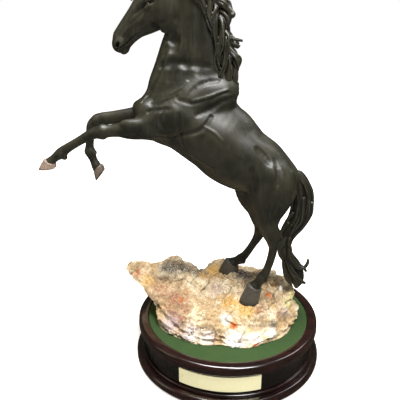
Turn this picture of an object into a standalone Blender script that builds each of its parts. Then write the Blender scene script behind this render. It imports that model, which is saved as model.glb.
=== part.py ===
"""Rearing horse figure on painted rockwork and a turned plinth.

Metres, +Z up.  The origin is the centre of the plinth's underside.
The horse faces -X and its left side faces -Y, the side that carries the name plaque.
"""
import math

import bmesh
import bpy
from mathutils import Vector

MM = 0.001

# ---- driving dimensions, millimetres -------------------------------------------------
PLINTH_HEIGHT = 50.0        # floor to the top of the rim
RIM_RADIUS = 103.5          # outside of the rim; the plinth's other rounds follow it
RIM_DEPTH = 12.0            # height of the rim ring
RIM_WIDTH = 11.0            # radial width of the rim ring
RIM_OVERHANG = 6.5          # rim past the drum
FOOT_SPREAD = 10.0          # foot past the drum
FOOT_LEDGE = 15.0           # width of the foot ring under the drum
FOOT_HEIGHT = 14.0
BAIZE_THICKNESS = 1.0
BAIZE_DROP = 1.7            # baize top below the rim top
FELT_INSET = 4.0            # felt inside the foot's edge
FELT_THICKNESS = 1.5
SEAM = 0.3                  # gap kept where two pieces meet
PLAQUE_WIDTH = 88.0         # round the drum
PLAQUE_MARGIN = 3.0         # bare drum above and below the plaque
PLAQUE_THICKNESS = 0.8
PLAQUE_DROP = 0.4           # plaque's middle below the drum's
PIN_RADIUS = 1.3
PIN_SHANK_RADIUS = 0.6
PIN_LENGTH = 6.0
PIN_INSET = 4.0             # pin centre from the plaque's end
SCREW_CIRCLE = 38.0         # radius of the circle the fixing screws stand on
SCREW_COUNT = 3
SCREW_RADIUS = 2.0
SCREW_HEAD_RADIUS = 3.8
SCREW_HEAD_HEIGHT = 2.6
SCREW_BITE = 14.0           # thread inside the rockwork
WASHER_RADIUS = 5.5
WASHER_THICKNESS = 1.0
COUNTERBORE_RADIUS = 7.0
COUNTERBORE_DEPTH = 9.0
ROCK_MARGIN = 17.2          # mean width of the baize left bare round the rockwork
ROCK_HEIGHT = 41.7          # baize to the crown of the rockwork; the figure stands on it
ROCK_LEDGE = 46.0           # ledge past the rest of the rockwork, under the forelegs
HORSE_SCALE = 1.0           # figure about the near hind hoof
DOWEL_RADIUS = 1.6
DOWEL_IN_ROCK = 14.0
DOWEL_IN_LEG = 13.0

TURNED_STEPS = 56
SMALL_STEPS = 16

PART = "rearing_horse_figure"
CUTTERS = "cutters"

# Sizes and places worked out from the ones above
BAIZE_RADIUS = RIM_RADIUS - RIM_WIDTH - SEAM
DRUM_RADIUS = RIM_RADIUS - RIM_OVERHANG
FOOT_RADIUS = DRUM_RADIUS + FOOT_SPREAD
FOOT_BORE = DRUM_RADIUS - FOOT_LEDGE
FELT_RADIUS = FOOT_RADIUS - FELT_INSET
RIM_BOTTOM = PLINTH_HEIGHT - RIM_DEPTH
DRUM_MIDDLE = (FOOT_HEIGHT + RIM_BOTTOM) * 0.5
PLAQUE_HEIGHT = RIM_BOTTOM - FOOT_HEIGHT - 2.0 * PLAQUE_MARGIN
PLAQUE_CENTRE_Z = DRUM_MIDDLE - PLAQUE_DROP
BAIZE_TOP = PLINTH_HEIGHT - BAIZE_DROP
BAIZE_BOTTOM = BAIZE_TOP - BAIZE_THICKNESS
DRUM_TOP = BAIZE_BOTTOM - SEAM
WOOD_BOTTOM = FELT_THICKNESS + SEAM
ROCK_BOTTOM = BAIZE_TOP + SEAM
ROCK_RADIUS = BAIZE_RADIUS - ROCK_MARGIN
ROCK_TOP = BAIZE_TOP + ROCK_HEIGHT
STATION_ROCK_TOP = 90.0     # crown height that the figure's stations are written for
HORSE_PIVOT = Vector((20.0, -22.0, 80.0))


# ---- scene and small helpers ----------------------------------------------------------
def empty_the_scene():
    for old in list(bpy.data.objects):
        bpy.data.objects.remove(old, do_unlink=True)


def collection(name):
    made = bpy.data.collections.new(name)
    bpy.context.scene.collection.children.link(made)
    return made


def material(name, colour, roughness, metallic=0.0):
    made = bpy.data.materials.new(name)
    made.use_nodes = True
    shader = made.node_tree.nodes["Principled BSDF"]
    shader.inputs["Base Color"].default_value = (*colour, 1.0)
    shader.inputs["Roughness"].default_value = roughness
    shader.inputs["Metallic"].default_value = metallic
    made.diffuse_color = (*colour, 1.0)
    return made


def add(name, mesh, group, skin=None):
    made = bpy.data.objects.new(name, mesh)
    group.objects.link(made)
    if skin:
        mesh.materials.append(skin)
    return made


def shade(piece, degrees=50.0):
    piece.data.shade_smooth()
    piece.data.set_sharp_from_angle(angle=math.radians(degrees))


def hide(cutter):
    cutter.hide_render = True
    cutter.display_type = "WIRE"
    return cutter


def turned(name, profile, group, skin=None, steps=TURNED_STEPS):
    """A closed (radius, height) outline in mm spun round Z; it runs down the outer side."""
    mesh = bpy.data.meshes.new(name)
    points = [(r * MM, 0.0, z * MM) for r, z in profile]
    on_axis = profile[0][0] == 0.0 and profile[-1][0] == 0.0
    last = len(points) - 1 if on_axis else len(points)
    edges = [(i, (i + 1) % len(points)) for i in range(last)]
    mesh.from_pydata(points, edges, [])
    piece = add(name, mesh, group, skin)
    screw = piece.modifiers.new("turned", "SCREW")
    screw.axis = "Z"
    screw.steps = steps
    screw.render_steps = steps
    screw.use_merge_vertices = True
    screw.merge_threshold = 0.00001
    screw.use_smooth_shade = False
    return freeze(piece)


def freeze(piece):
    """Replace the object's mesh by its evaluated mesh."""
    bpy.context.view_layer.update()
    seen = piece.evaluated_get(bpy.context.evaluated_depsgraph_get())
    mesh = bpy.data.meshes.new_from_object(seen)
    piece.modifiers.clear()
    old = piece.data
    piece.data = mesh
    mesh.name = old.name
    bpy.data.meshes.remove(old)
    return piece


def arc(cx, cz, radius, start, end, count):
    """Points on an arc in a (radius, height) outline, angles in degrees."""
    turn = [math.radians(start + (end - start) * i / (count - 1)) for i in range(count)]
    return [(cx + radius * math.cos(t), cz + radius * math.sin(t)) for t in turn]


def boolean(piece, cutter, operation="DIFFERENCE"):
    step = piece.modifiers.new(operation.lower(), "BOOLEAN")
    step.operation = operation
    step.solver = "EXACT"
    step.object = cutter
    return freeze(piece)


def rod_cutter(name, start, end, radius):
    """A round cutter from start to end, points in mm."""
    start = Vector(start)
    end = Vector(end)
    shape = bmesh.new()
    bmesh.ops.create_cone(
        shape, cap_ends=True, segments=SMALL_STEPS, radius1=radius * MM,
        radius2=radius * MM, depth=(end - start).length * MM,
    )
    mesh = bpy.data.meshes.new(name)
    shape.to_mesh(mesh)
    shape.free()
    cutter = hide(add(name, mesh, cutters))
    cutter.rotation_mode = "QUATERNION"
    cutter.rotation_quaternion = (end - start).to_track_quat("Z", "Y")
    cutter.location = (start + end) * 0.5 * MM
    return cutter


# ---- lofted castings ------------------------------------------------------------------
def figure_place(point):
    """A point of the figure, grown about the near hind hoof and set on the rockwork, in mm."""
    rise = Vector((0.0, 0.0, ROCK_TOP - STATION_ROCK_TOP))
    return HORSE_PIVOT + (Vector(point) - HORSE_PIVOT) * HORSE_SCALE + rise


def section_frames(centres):
    """Tangent, width and depth directions at each station of a spine."""
    frames = []
    for i, centre in enumerate(centres):
        before = centres[max(i - 1, 0)]
        after = centres[min(i + 1, len(centres) - 1)]
        along = (after - before).normalized()
        across = Vector((0.0, 1.0, 0.0))
        across = (across - along * across.dot(along)).normalized()
        frames.append((along, across, along.cross(across)))
    return frames


def eased(stations, between=2):
    """Stations with smoothly interpolated ones put between them (Catmull-Rom)."""
    rows = [Vector(s) for s in stations]
    out = []
    for i in range(len(rows) - 1):
        before = rows[max(i - 1, 0)]
        here = rows[i]
        there = rows[i + 1]
        after = rows[min(i + 2, len(rows) - 1)]
        for j in range(between):
            t = j / between
            bend = (before * 2.0 - here * 5.0 + there * 4.0 - after) * t * t
            twist = (here * 3.0 - before - there * 3.0 + after) * t * t * t
            out.append((here * 2.0 + (there - before) * t + bend + twist) * 0.5)
    out.append(rows[-1])
    return out


def loft(name, stations, sides, group, skin=None):
    """Oval sections along a spine, as (x, y, z, half depth, half width) in mm.

    Depth lies in the horse's middle plane and width across it.
    """
    rows = eased(stations)
    centres = [figure_place(s[:3]) for s in rows]
    frames = section_frames(centres)
    shape = bmesh.new()
    rings = []
    for centre, (along, across, deep), row in zip(centres, frames, rows):
        ring = []
        for k in range(sides):
            turn = 2.0 * math.pi * (k + 0.5) / sides
            out = deep * (row[3] * math.cos(turn)) + across * (row[4] * math.sin(turn))
            ring.append(shape.verts.new((centre + out * HORSE_SCALE) * MM))
        rings.append(ring)
    for low, high in zip(rings, rings[1:]):
        for k in range(sides):
            nxt = (k + 1) % sides
            shape.faces.new((low[k], low[nxt], high[nxt], high[k]))
    shape.faces.new(list(reversed(rings[0])))
    shape.faces.new(rings[-1])
    bmesh.ops.recalc_face_normals(shape, faces=shape.faces)
    mesh = bpy.data.meshes.new(name)
    shape.to_mesh(mesh)
    shape.free()
    return add(name, mesh, group, skin)


def swollen(piece, growth=SEAM * 1.25):
    """A hidden copy of a piece, grown outward along its normals by growth mm."""
    mesh = piece.data.copy()
    mesh.name = piece.name + "_clearance"
    shape = bmesh.new()
    shape.from_mesh(mesh)
    shape.normal_update()
    moves = [(v, v.normal.copy()) for v in shape.verts]
    for vert, out in moves:
        vert.co += out * growth * MM
    shape.to_mesh(mesh)
    shape.free()
    return hide(add(mesh.name, mesh, cutters))


# ---- the figure's stations, named for where they lie -------------------------------------
BARREL = [
    (-96, 0, 284, 6, 7),
    (-90, 0, 282, 16, 17),
    (-75, 0, 278, 25, 27),
    (-52, 0, 274, 29, 30),
    (-32, 0, 265.5, 34, 31.5),
    (-13, 0, 258, 37, 33),
    (-2, 0, 248, 36.5, 33.5),
    (8, 0, 240, 34.5, 34),
    (20, 0, 233.5, 32, 33.5),
    (33, 0, 229.6, 27, 32),
    (48, 0, 224.5, 21, 27),
    (59, 0, 217, 18, 20),
    (72, 0, 208, 8, 10),
]
NECK = [
    (-45, 0, 272, 42, 27),
    (-43, 0, 290, 46, 27),
    (-42, 0, 304, 45, 24),
    (-40, 0, 319, 41, 20.5),
    (-38, 0, 336, 37, 18),
    (-36, 0, 353, 33, 16),
    (-36, 0, 371, 28, 14.5),
    (-40, 0, 388, 22, 13),
    (-47, 0, 401, 15, 11),
]
HEAD = [
    (-50, 0, 407, 9, 8),
    (-59, 0, 401, 17, 13),
    (-68, 0, 390.5, 23.5, 15.5),
    (-77.5, 0, 382, 22, 14.5),
    (-87, 0, 374, 18, 12),
    (-96, 0, 367, 14, 10),
    (-104, 0, 359.5, 12, 9.5),
    (-110.5, 0, 351.5, 11, 9.5),
    (-115, 0, 344.5, 8.5, 8),
    (-117, 0, 340.5, 4, 5),
]
MANE = [
    (-55, 0, 415, 4, 5),
    (-42, 0, 413, 9, 7),
    (-24, 0, 401, 12, 9),
    (-10, 0, 382, 13, 10),
    (-4, 0, 360, 13, 10),
    (-3, 0, 340, 13, 10),
    (-1, 0, 322, 12, 9),
    (1, 0, 306, 9, 7),
    (4, 0, 297, 4, 4),
]
FORELOCK = [
    (-51, 0, 419, 2.6, 3.5),
    (-62, 0, 421.5, 3.6, 5),
    (-74, 0, 418, 3.8, 5),
    (-86, 0, 410, 3.4, 4.5),
    (-95, 0, 400.5, 2.6, 3.2),
    (-100, 0, 393.5, 1.4, 1.6),
]
LEFT_EAR = [
    (-55, -7, 410, 4.0, 3.5),
    (-53, -8, 418, 4.5, 3.8),
    (-52, -9, 426, 3.6, 2.8),
    (-52, -9, 434, 1.2, 1.0),
]
LEFT_FORELEG = [
    (-36, -17, 300, 17, 11),
    (-54, -20, 285, 22, 14),
    (-73, -23, 273, 16, 12),
    (-88, -24, 270.5, 11, 10),
    (-103, -24, 268.5, 8.5, 8.2),
    (-118, -24, 266.6, 6.6, 6.6),
    (-129, -24, 265.2, 6.9, 6.8),
    (-140, -24, 262.5, 6.0, 6.0),
    (-153, -24, 255.5, 4.8, 4.6),
    (-167, -24, 247.2, 5.0, 4.6),
    (-175, -24, 241.5, 5.9, 5.5),
    (-183, -24, 235, 4.6, 4.6),
    (-188, -24, 230, 5.8, 6.2),
    (-193, -24, 224, 7.6, 7.4),
    (-194.5, -24, 222, 7.0, 6.8),
]
RIGHT_FORELEG = [
    (-36, 17, 300, 17, 11),
    (-56, 19, 287, 21, 13),
    (-80, 21, 277, 14, 11),
    (-101, 22, 273, 11, 9.5),
    (-116, 22, 272, 9, 8.2),
    (-132, 22, 270.5, 7.6, 7.4),
    (-146, 22, 268, 7.4, 7.0),
    (-155, 22, 262, 6.6, 6.4),
    (-158.5, 22, 251.5, 5.3, 5.0),
    (-160.5, 22, 239, 4.8, 4.6),
    (-161, 22, 231, 5.9, 5.5),
    (-158.5, 22, 221.5, 4.6, 4.6),
    (-156, 22, 214, 5.8, 6.2),
    (-153.5, 22, 206, 7.4, 7.4),
    (-152.5, 22, 203.5, 6.8, 6.8),
]
LEFT_HIND_LEG = [
    (45, -14, 229, 14, 12),
    (46, -18, 222, 19, 17),
    (46, -21, 213, 25.5, 16),
    (43, -22, 198, 22, 13.5),
    (41, -22, 184, 16, 11),
    (42, -22, 170, 11, 8.6),
    (47, -22, 159, 8.8, 7.2),
    (50.5, -22, 147, 6.4, 5.8),
    (47, -22, 130.5, 5.5, 5.1),
    (42, -22, 116, 5.8, 5.4),
    (38, -22, 108, 6.8, 6.2),
    (33, -22, 100, 5.6, 5.6),
    (27, -22, 92, 7.4, 7.2),
    (20, -22, 82, 9.0, 8.4),
]
RIGHT_HIND_LEG = [
    (42, 14, 229, 14, 12),
    (37, 18, 221, 22, 17),
    (30, 20, 206, 26, 16),
    (28, 20, 190, 21, 13.5),
    (31, 20, 174, 15, 11),
    (33, 20, 161, 10.8, 8.6),
    (34.5, 20, 150, 8.4, 7.2),
    (31.5, 20, 138, 6.3, 5.8),
    (25.5, 20, 126, 5.5, 5.1),
    (18.5, 20, 115, 5.8, 5.4),
    (11, 20, 107.5, 6.6, 6.1),
    (2.5, 20, 102.5, 5.6, 5.8),
    (-6, 20, 96, 7.4, 7.2),
    (-13, 20, 88, 9.0, 8.4),
]
TAIL = [
    (68, 0, 216, 5, 5),
    (75, 0, 210, 7, 6),
    (80, 0, 199, 10, 8),
    (81.5, 1, 187, 12, 10),
    (78, 2, 172, 12, 11),
    (72, 2, 157, 10, 10),
    (67, 2, 143, 8.5, 9),
    (66, 2, 127, 8.5, 10),
    (71, 2, 112, 10, 11),
    (77, 1, 99, 8, 10),
    (80, 0, 89, 5, 6),
]


def mirrored(stations):
    return [(x, -y, z, deep, wide) for x, y, z, deep, wide in stations]


# ---- rockwork ---------------------------------------------------------------------------
ROCK_SIDES = 32
HOLLOW_REACH = 15.0         # spread of the pad that each hind hoof stands in, mm
HOLLOW_DEPTH = 2.0
HOLLOWS = [  # the leg whose hoof stands in it, and how far along X it lies from the hoof
    (LEFT_HIND_LEG, -1.0),
    (RIGHT_HIND_LEG, 1.0),
]


def rock_foot_radius(turn):
    """Plan radius where the rockwork meets the baize, mm."""
    bumps = 1.6 * math.sin(5 * turn + 0.5) + 1.4 * math.sin(9 * turn)
    return ROCK_RADIUS + 7.5 * math.cos(2 * turn) - 3.0 * math.cos(turn) + bumps


def rock_brow_radius(turn):
    """Plan radius of the brow; on the -X side it juts out past the plinth as a ledge."""
    ledge = max(0.0, math.cos(turn - math.radians(172.0))) ** 14
    return rock_foot_radius(turn) * 0.92 + ROCK_LEDGE * ledge + 2.0 * math.sin(4 * turn)


def rock_crown_height(x, y):
    """Top of the rockwork: low at the front (-Y), highest along the back and the ledge."""
    slope = 0.30 if y < 0.0 else 0.13
    height = ROCK_TOP + slope * y - 0.06 * x - 0.0035 * y * y
    height += 1.6 * math.sin(0.11 * x + 0.06 * y) + 1.2 * math.sin(0.13 * y - 0.05 * x)
    for stations, shift in HOLLOWS:
        hoof = figure_place(stations[-1][:3])
        away = math.hypot(x - hoof.x - shift, y - hoof.y) / HOLLOW_REACH
        height -= HOLLOW_DEPTH * math.exp(-away * away)
    return height


def rock_ring(blend):
    """One ring of the rockwork: blend runs 0 at the baize, 1 at the brow, 2 at the middle."""
    ring = []
    brow_drop = 6.0
    for k in range(ROCK_SIDES):
        turn = 2.0 * math.pi * k / ROCK_SIDES
        foot = rock_foot_radius(turn)
        brow = rock_brow_radius(turn)
        if blend <= 1.0:
            radius = foot + (brow - foot) * blend ** 1.3
            radius += 2.0 * math.sin(3.0 * turn + 9.0 * blend) * blend * (1.0 - blend) * 4.0
        else:
            radius = brow * (2.0 - blend)
        x = math.cos(turn)
        y = math.sin(turn)
        if blend <= 1.0:
            top = rock_crown_height(brow * x, brow * y) - brow_drop
            height = ROCK_BOTTOM + (top - ROCK_BOTTOM) * blend ** 0.85
        else:
            height = rock_crown_height(radius * x, radius * y) - brow_drop * (2.0 - blend) ** 9
        ring.append(Vector((radius * x, radius * y, height)))
    return ring


def rockwork(name, group, skin):
    blends = [0.0, 0.25, 0.5, 0.75, 1.0, 1.08, 1.2, 1.35, 1.52, 1.7, 1.87]
    shape = bmesh.new()
    rings = [[shape.verts.new(p * MM) for p in rock_ring(b)] for b in blends]
    for low, high in zip(rings, rings[1:]):
        for k in range(ROCK_SIDES):
            nxt = (k + 1) % ROCK_SIDES
            shape.faces.new((low[k], low[nxt], high[nxt], high[k]))
    shape.faces.new(list(reversed(rings[0])))
    peak = shape.verts.new(Vector((0.0, 0.0, rock_crown_height(0.0, 0.0))) * MM)
    for k in range(ROCK_SIDES):
        shape.faces.new((rings[-1][k], rings[-1][(k + 1) % ROCK_SIDES], peak))
    bmesh.ops.recalc_face_normals(shape, faces=shape.faces)
    mesh = bpy.data.meshes.new(name)
    shape.to_mesh(mesh)
    shape.free()
    return add(name, mesh, group, skin)


# ---- plinth -------------------------------------------------------------------------------
def plinth_foot(skin):
    shoulder = 3.5
    bead = 2.6
    top = FOOT_HEIGHT - SEAM
    outline = [(FOOT_BORE, top), (DRUM_RADIUS + 1.0, top)]
    outline += arc(DRUM_RADIUS + 1.0, top - bead, bead, 90, -40, 6)[1:]
    outline += arc(FOOT_RADIUS - shoulder, top - 2 * bead - shoulder + 1.0, shoulder, 60, 0, 4)
    outline += [(FOOT_RADIUS, WOOD_BOTTOM + 1.0), (FOOT_RADIUS - 1.0, WOOD_BOTTOM)]
    outline += [(FOOT_BORE, WOOD_BOTTOM)]
    return turned("plinth_foot", outline, part, skin)


def plinth_drum(skin):
    """Solid disc with a spigot above, which the rim fits over, and one below in the foot."""
    cove = 1.2
    reach = (RIM_BOTTOM - FOOT_HEIGHT) * 0.29
    top_spigot = BAIZE_RADIUS - SEAM
    low_spigot = FOOT_BORE - SEAM
    outline = [(0.0, DRUM_TOP), (top_spigot, DRUM_TOP), (top_spigot, RIM_BOTTOM - SEAM)]
    outline += [(DRUM_RADIUS, RIM_BOTTOM - SEAM), (DRUM_RADIUS - cove * 0.7, DRUM_MIDDLE + reach)]
    outline += [(DRUM_RADIUS - cove, DRUM_MIDDLE), (DRUM_RADIUS - cove * 0.7, DRUM_MIDDLE - reach)]
    outline += [(DRUM_RADIUS, FOOT_HEIGHT), (low_spigot, FOOT_HEIGHT)]
    outline += [(low_spigot, WOOD_BOTTOM), (0.0, WOOD_BOTTOM)]
    drum = turned("plinth_drum", outline, part, skin)
    for place in screw_places():
        hole = rod_cutter("screw_hole", (*place, 0.0), (*place, PLINTH_HEIGHT), SCREW_RADIUS + SEAM)
        boolean(drum, hole)
        bore_top = WOOD_BOTTOM + COUNTERBORE_DEPTH
        bore = rod_cutter("counterbore", (*place, 0.0), (*place, bore_top), COUNTERBORE_RADIUS)
        boolean(drum, bore)
    return drum


def plinth_rim(skin):
    round_over = 3.4
    lip = 1.2
    outline = [(BAIZE_RADIUS + SEAM, PLINTH_HEIGHT - 0.8)]
    outline += [(BAIZE_RADIUS + SEAM + lip, PLINTH_HEIGHT)]
    outline += arc(RIM_RADIUS - round_over, PLINTH_HEIGHT - round_over, round_over, 90, 0, 6)
    outline += arc(RIM_RADIUS - round_over, RIM_BOTTOM + round_over, round_over, 0, -90, 6)
    outline += [(BAIZE_RADIUS + SEAM, RIM_BOTTOM)]
    return turned("plinth_rim", outline, part, skin)


def disc(name, radius, low, high, skin):
    return turned(name, [(0.0, high), (radius, high), (radius, low), (0.0, low)], part, skin)


def baize_top(skin):
    baize = disc("baize_top", BAIZE_RADIUS - SEAM, BAIZE_BOTTOM, BAIZE_TOP, skin)
    for place in screw_places():
        hole = rod_cutter("baize_hole", (*place, 0.0), (*place, PLINTH_HEIGHT), SCREW_RADIUS + SEAM)
        boolean(baize, hole)
    return baize


def screw_places():
    """Plan positions of the screws that hold the rockwork down, mm."""
    turns = [2.0 * math.pi * k / SCREW_COUNT + math.pi / 2 for k in range(SCREW_COUNT)]
    return [(SCREW_CIRCLE * math.cos(t), SCREW_CIRCLE * math.sin(t)) for t in turns]


def fixing_screws(screw_skin, washer_skin):
    seat = WOOD_BOTTOM + COUNTERBORE_DEPTH
    for number, (x, y) in enumerate(screw_places(), start=1):
        washer_top = seat - SEAM
        washer_low = washer_top - WASHER_THICKNESS
        ring = [(SCREW_RADIUS + SEAM, washer_top), (WASHER_RADIUS, washer_top)]
        ring += [(WASHER_RADIUS, washer_low), (SCREW_RADIUS + SEAM, washer_low)]
        washer = turned(f"fixing_washer_{number}", ring, part, washer_skin, SMALL_STEPS)
        washer.location = (x * MM, y * MM, 0.0)
        head_top = washer_low - SEAM
        head_low = head_top - SCREW_HEAD_HEIGHT
        tip = ROCK_BOTTOM + SCREW_BITE
        shape = [(0.0, tip), (SCREW_RADIUS * 0.5, tip), (SCREW_RADIUS, tip - 2.0)]
        shape += [(SCREW_RADIUS, head_top), (SCREW_HEAD_RADIUS, head_top)]
        shape += [(SCREW_HEAD_RADIUS, head_low + 0.8), (SCREW_HEAD_RADIUS - 0.8, head_low)]
        shape += [(0.0, head_low)]
        screw = turned(f"fixing_screw_{number}", shape, part, screw_skin, SMALL_STEPS)
        screw.location = (x * MM, y * MM, 0.0)


def plaque(skin):
    """Curved plate on the front of the drum."""
    inner = DRUM_RADIUS + SEAM
    outer = inner + PLAQUE_THICKNESS
    half = PLAQUE_WIDTH / (2.0 * outer)
    low = PLAQUE_CENTRE_Z - PLAQUE_HEIGHT * 0.5
    high = PLAQUE_CENTRE_Z + PLAQUE_HEIGHT * 0.5
    steps = 20
    turns = [-math.pi / 2 - half + 2.0 * half * k / steps for k in range(steps + 1)]
    sheet = bmesh.new()
    for z in (low, high):
        for t in turns:
            sheet.verts.new((inner * math.cos(t) * MM, inner * math.sin(t) * MM, z * MM))
    sheet.verts.ensure_lookup_table()
    row = len(turns)
    for k in range(steps):
        corner = [sheet.verts[i] for i in (k, k + 1, row + k + 1, row + k)]
        sheet.faces.new(corner)
    mesh = bpy.data.meshes.new("name_plaque")
    sheet.to_mesh(mesh)
    sheet.free()
    plate = add("name_plaque", mesh, part, skin)
    thick = plate.modifiers.new("thickness", "SOLIDIFY")
    thick.thickness = PLAQUE_THICKNESS * MM
    thick.offset = 1.0
    return freeze(plate)


def plaque_pins(plate, drum, skin):
    """Dome-headed pins through both ends of the plaque into the drum."""
    outer = DRUM_RADIUS + SEAM + PLAQUE_THICKNESS
    half = (PLAQUE_WIDTH * 0.5 - PIN_INSET) / outer
    for side, sign in (("left", -1.0), ("right", 1.0)):
        turn = -math.pi / 2 + sign * half
        out = Vector((math.cos(turn), math.sin(turn), 0.0))
        root = out * (outer - PIN_LENGTH) + Vector((0.0, 0.0, PLAQUE_CENTRE_Z))
        face = out * (outer + 3.0) + Vector((0.0, 0.0, PLAQUE_CENTRE_Z))
        hole = rod_cutter(f"pin_hole_{side}", root - out * SEAM, face, PIN_SHANK_RADIUS + SEAM)
        boolean(plate, hole)
        boolean(drum, hole)
        head = SEAM + PIN_LENGTH
        shape = [(0.0, head + PIN_RADIUS * 0.7), (PIN_RADIUS * 0.7, head + PIN_RADIUS * 0.5)]
        shape += [(PIN_RADIUS, head), (PIN_SHANK_RADIUS, head)]
        shape += [(PIN_SHANK_RADIUS, 0.0), (0.0, 0.0)]
        pin = turned(f"plaque_pin_{side}", shape, part, skin, 12)
        pin.rotation_mode = "QUATERNION"
        pin.rotation_quaternion = out.to_track_quat("Z", "Y")
        pin.location = root * MM


# ---- the horse ------------------------------------------------------------------------------
def horse(coat, hair, rock):
    """Castings of the figure, each cut clear of the one it is fixed to."""
    body = loft("horse_body", BARREL, 16, part, coat)
    body_room = swollen(body)
    neck = loft("horse_neck", NECK, 14, part, coat)
    neck_room = swollen(neck)
    head = loft("horse_head", HEAD, 12, part, coat)
    head_room = swollen(head)
    boolean(neck, body_room)
    boolean(head, neck_room)

    mane = loft("mane", MANE, 10, part, hair)
    forelock = loft("forelock", FORELOCK, 6, part, hair)
    ears = [loft("left_ear", LEFT_EAR, 6, part, coat)]
    ears.append(loft("right_ear", mirrored(LEFT_EAR), 6, part, coat))
    ear_rooms = [swollen(ear) for ear in ears]
    mane_room = swollen(mane)
    for room in (body_room, neck_room, head_room):
        boolean(mane, room)
    for room in (head_room, mane_room, *ear_rooms):
        boolean(forelock, room)
    for ear in ears:
        for room in (head_room, mane_room):
            boolean(ear, room)

    rock_room = swollen(rock)
    legs = [
        loft("left_foreleg", LEFT_FORELEG, 10, part, coat),
        loft("right_foreleg", RIGHT_FORELEG, 10, part, coat),
        loft("left_hind_leg", LEFT_HIND_LEG, 10, part, coat),
        loft("right_hind_leg", RIGHT_HIND_LEG, 10, part, coat),
    ]
    leg_rooms = [swollen(leg) for leg in legs]
    for leg in legs[:2]:
        boolean(leg, body_room)
        boolean(leg, neck_room)
    for leg in legs[2:]:
        boolean(leg, body_room)
        boolean(leg, rock_room)

    tail = loft("tail", TAIL, 10, part, hair)
    for room in (body_room, rock_room, *leg_rooms[2:]):
        boolean(tail, room)
    return legs


def hoof_dowels(legs, rock, skin):
    """Steel dowels that tie the hind feet to the rockwork."""
    feet = (("left", legs[2], LEFT_HIND_LEG), ("right", legs[3], RIGHT_HIND_LEG))
    for side, leg, stations in feet:
        sole = figure_place(stations[-1][:3])
        above = figure_place(stations[-2][:3])
        along = (above - sole).normalized()
        low = sole - along * DOWEL_IN_ROCK
        high = sole + along * DOWEL_IN_LEG
        hole = rod_cutter(
            f"dowel_hole_{side}", low - along * SEAM, high + along * SEAM, DOWEL_RADIUS + SEAM,
        )
        boolean(leg, hole)
        boolean(rock, hole)
        length = (high - low).length
        shape = [(0.0, length), (DOWEL_RADIUS, length), (DOWEL_RADIUS, 0.0), (0.0, 0.0)]
        dowel = turned(f"hoof_dowel_{side}", shape, part, skin, 12)
        dowel.rotation_mode = "QUATERNION"
        dowel.rotation_quaternion = along.to_track_quat("Z", "Y")
        dowel.location = low * MM


def build():
    mahogany = material("mahogany", (0.05, 0.014, 0.010), 0.25)
    ebonised = material("ebonised_drum", (0.012, 0.009, 0.008), 0.25)
    green = material("green_baize", (0.035, 0.12, 0.035), 0.95)
    brass = material("brass", (0.85, 0.68, 0.30), 0.25, 1.0)
    steel = material("steel", (0.55, 0.55, 0.56), 0.35, 1.0)
    stone = material("painted_rock", (0.55, 0.45, 0.32), 0.8)
    coat = material("black_glaze", (0.020, 0.018, 0.014), 0.35)
    hair = material("black_hair", (0.012, 0.011, 0.010), 0.4)

    plinth_foot(mahogany)
    drum = plinth_drum(ebonised)
    plinth_rim(mahogany)
    baize_top(green)
    disc("underside_felt", FELT_RADIUS, 0.0, FELT_THICKNESS, green)
    plate = plaque(brass)
    plaque_pins(plate, drum, brass)

    rock = rockwork("rockwork", part, stone)
    legs = horse(coat, hair, rock)
    hoof_dowels(legs, rock, steel)
    for x, y in screw_places():
        tip = ROCK_BOTTOM + SCREW_BITE + SEAM
        pilot = rod_cutter("pilot_hole", (x, y, 0.0), (x, y, tip), SCREW_RADIUS + SEAM)
        boolean(rock, pilot)
    fixing_screws(steel, steel)
    for piece in part.objects:
        shade(piece)


empty_the_scene()
part = collection(PART)
cutters = collection(CUTTERS)
build()
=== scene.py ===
import math

import bmesh
import bpy
import numpy as np
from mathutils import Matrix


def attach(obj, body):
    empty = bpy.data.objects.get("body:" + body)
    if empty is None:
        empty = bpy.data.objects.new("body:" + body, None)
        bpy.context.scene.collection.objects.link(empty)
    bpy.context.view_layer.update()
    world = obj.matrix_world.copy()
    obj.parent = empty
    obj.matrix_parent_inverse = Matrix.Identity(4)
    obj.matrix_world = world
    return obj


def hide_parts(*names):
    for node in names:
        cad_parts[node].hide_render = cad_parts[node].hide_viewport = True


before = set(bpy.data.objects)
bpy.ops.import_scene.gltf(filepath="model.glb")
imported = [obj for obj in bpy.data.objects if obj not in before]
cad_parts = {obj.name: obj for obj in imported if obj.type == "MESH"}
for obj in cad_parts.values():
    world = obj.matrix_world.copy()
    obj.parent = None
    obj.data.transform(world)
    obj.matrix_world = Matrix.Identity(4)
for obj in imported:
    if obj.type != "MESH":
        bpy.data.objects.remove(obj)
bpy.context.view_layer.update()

import openvdb
from mathutils import Vector, noise

mm = 0.001
print("frame loaded")


# shader maths as plain expressions: a Wire wraps one output socket
class Wire:
    def __init__(self, finish, socket):
        self.finish = finish
        self.socket = socket

    def __getitem__(self, name):
        return Wire(self.finish, self.socket.node.outputs[name])

    def sum(self, operation, first, second):
        return self.finish.node("ShaderNodeMath", {"operation": operation}, {0: first, 1: second})

    def __add__(self, other):
        return self.sum("ADD", self, other)

    def __sub__(self, other):
        return self.sum("SUBTRACT", self, other)

    def __rsub__(self, other):
        return self.sum("SUBTRACT", other, self)

    def __mul__(self, other):
        return self.sum("MULTIPLY", self, other)

    __radd__ = __add__
    __rmul__ = __mul__

    def between(self, low, high):  # 0 below low, 1 above high, eased in the middle
        span = {"clamp": True, "interpolation_type": "SMOOTHSTEP"}
        return self.finish.node("ShaderNodeMapRange", span, {"Value": self, "From Min": low, "From Max": high})


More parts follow.
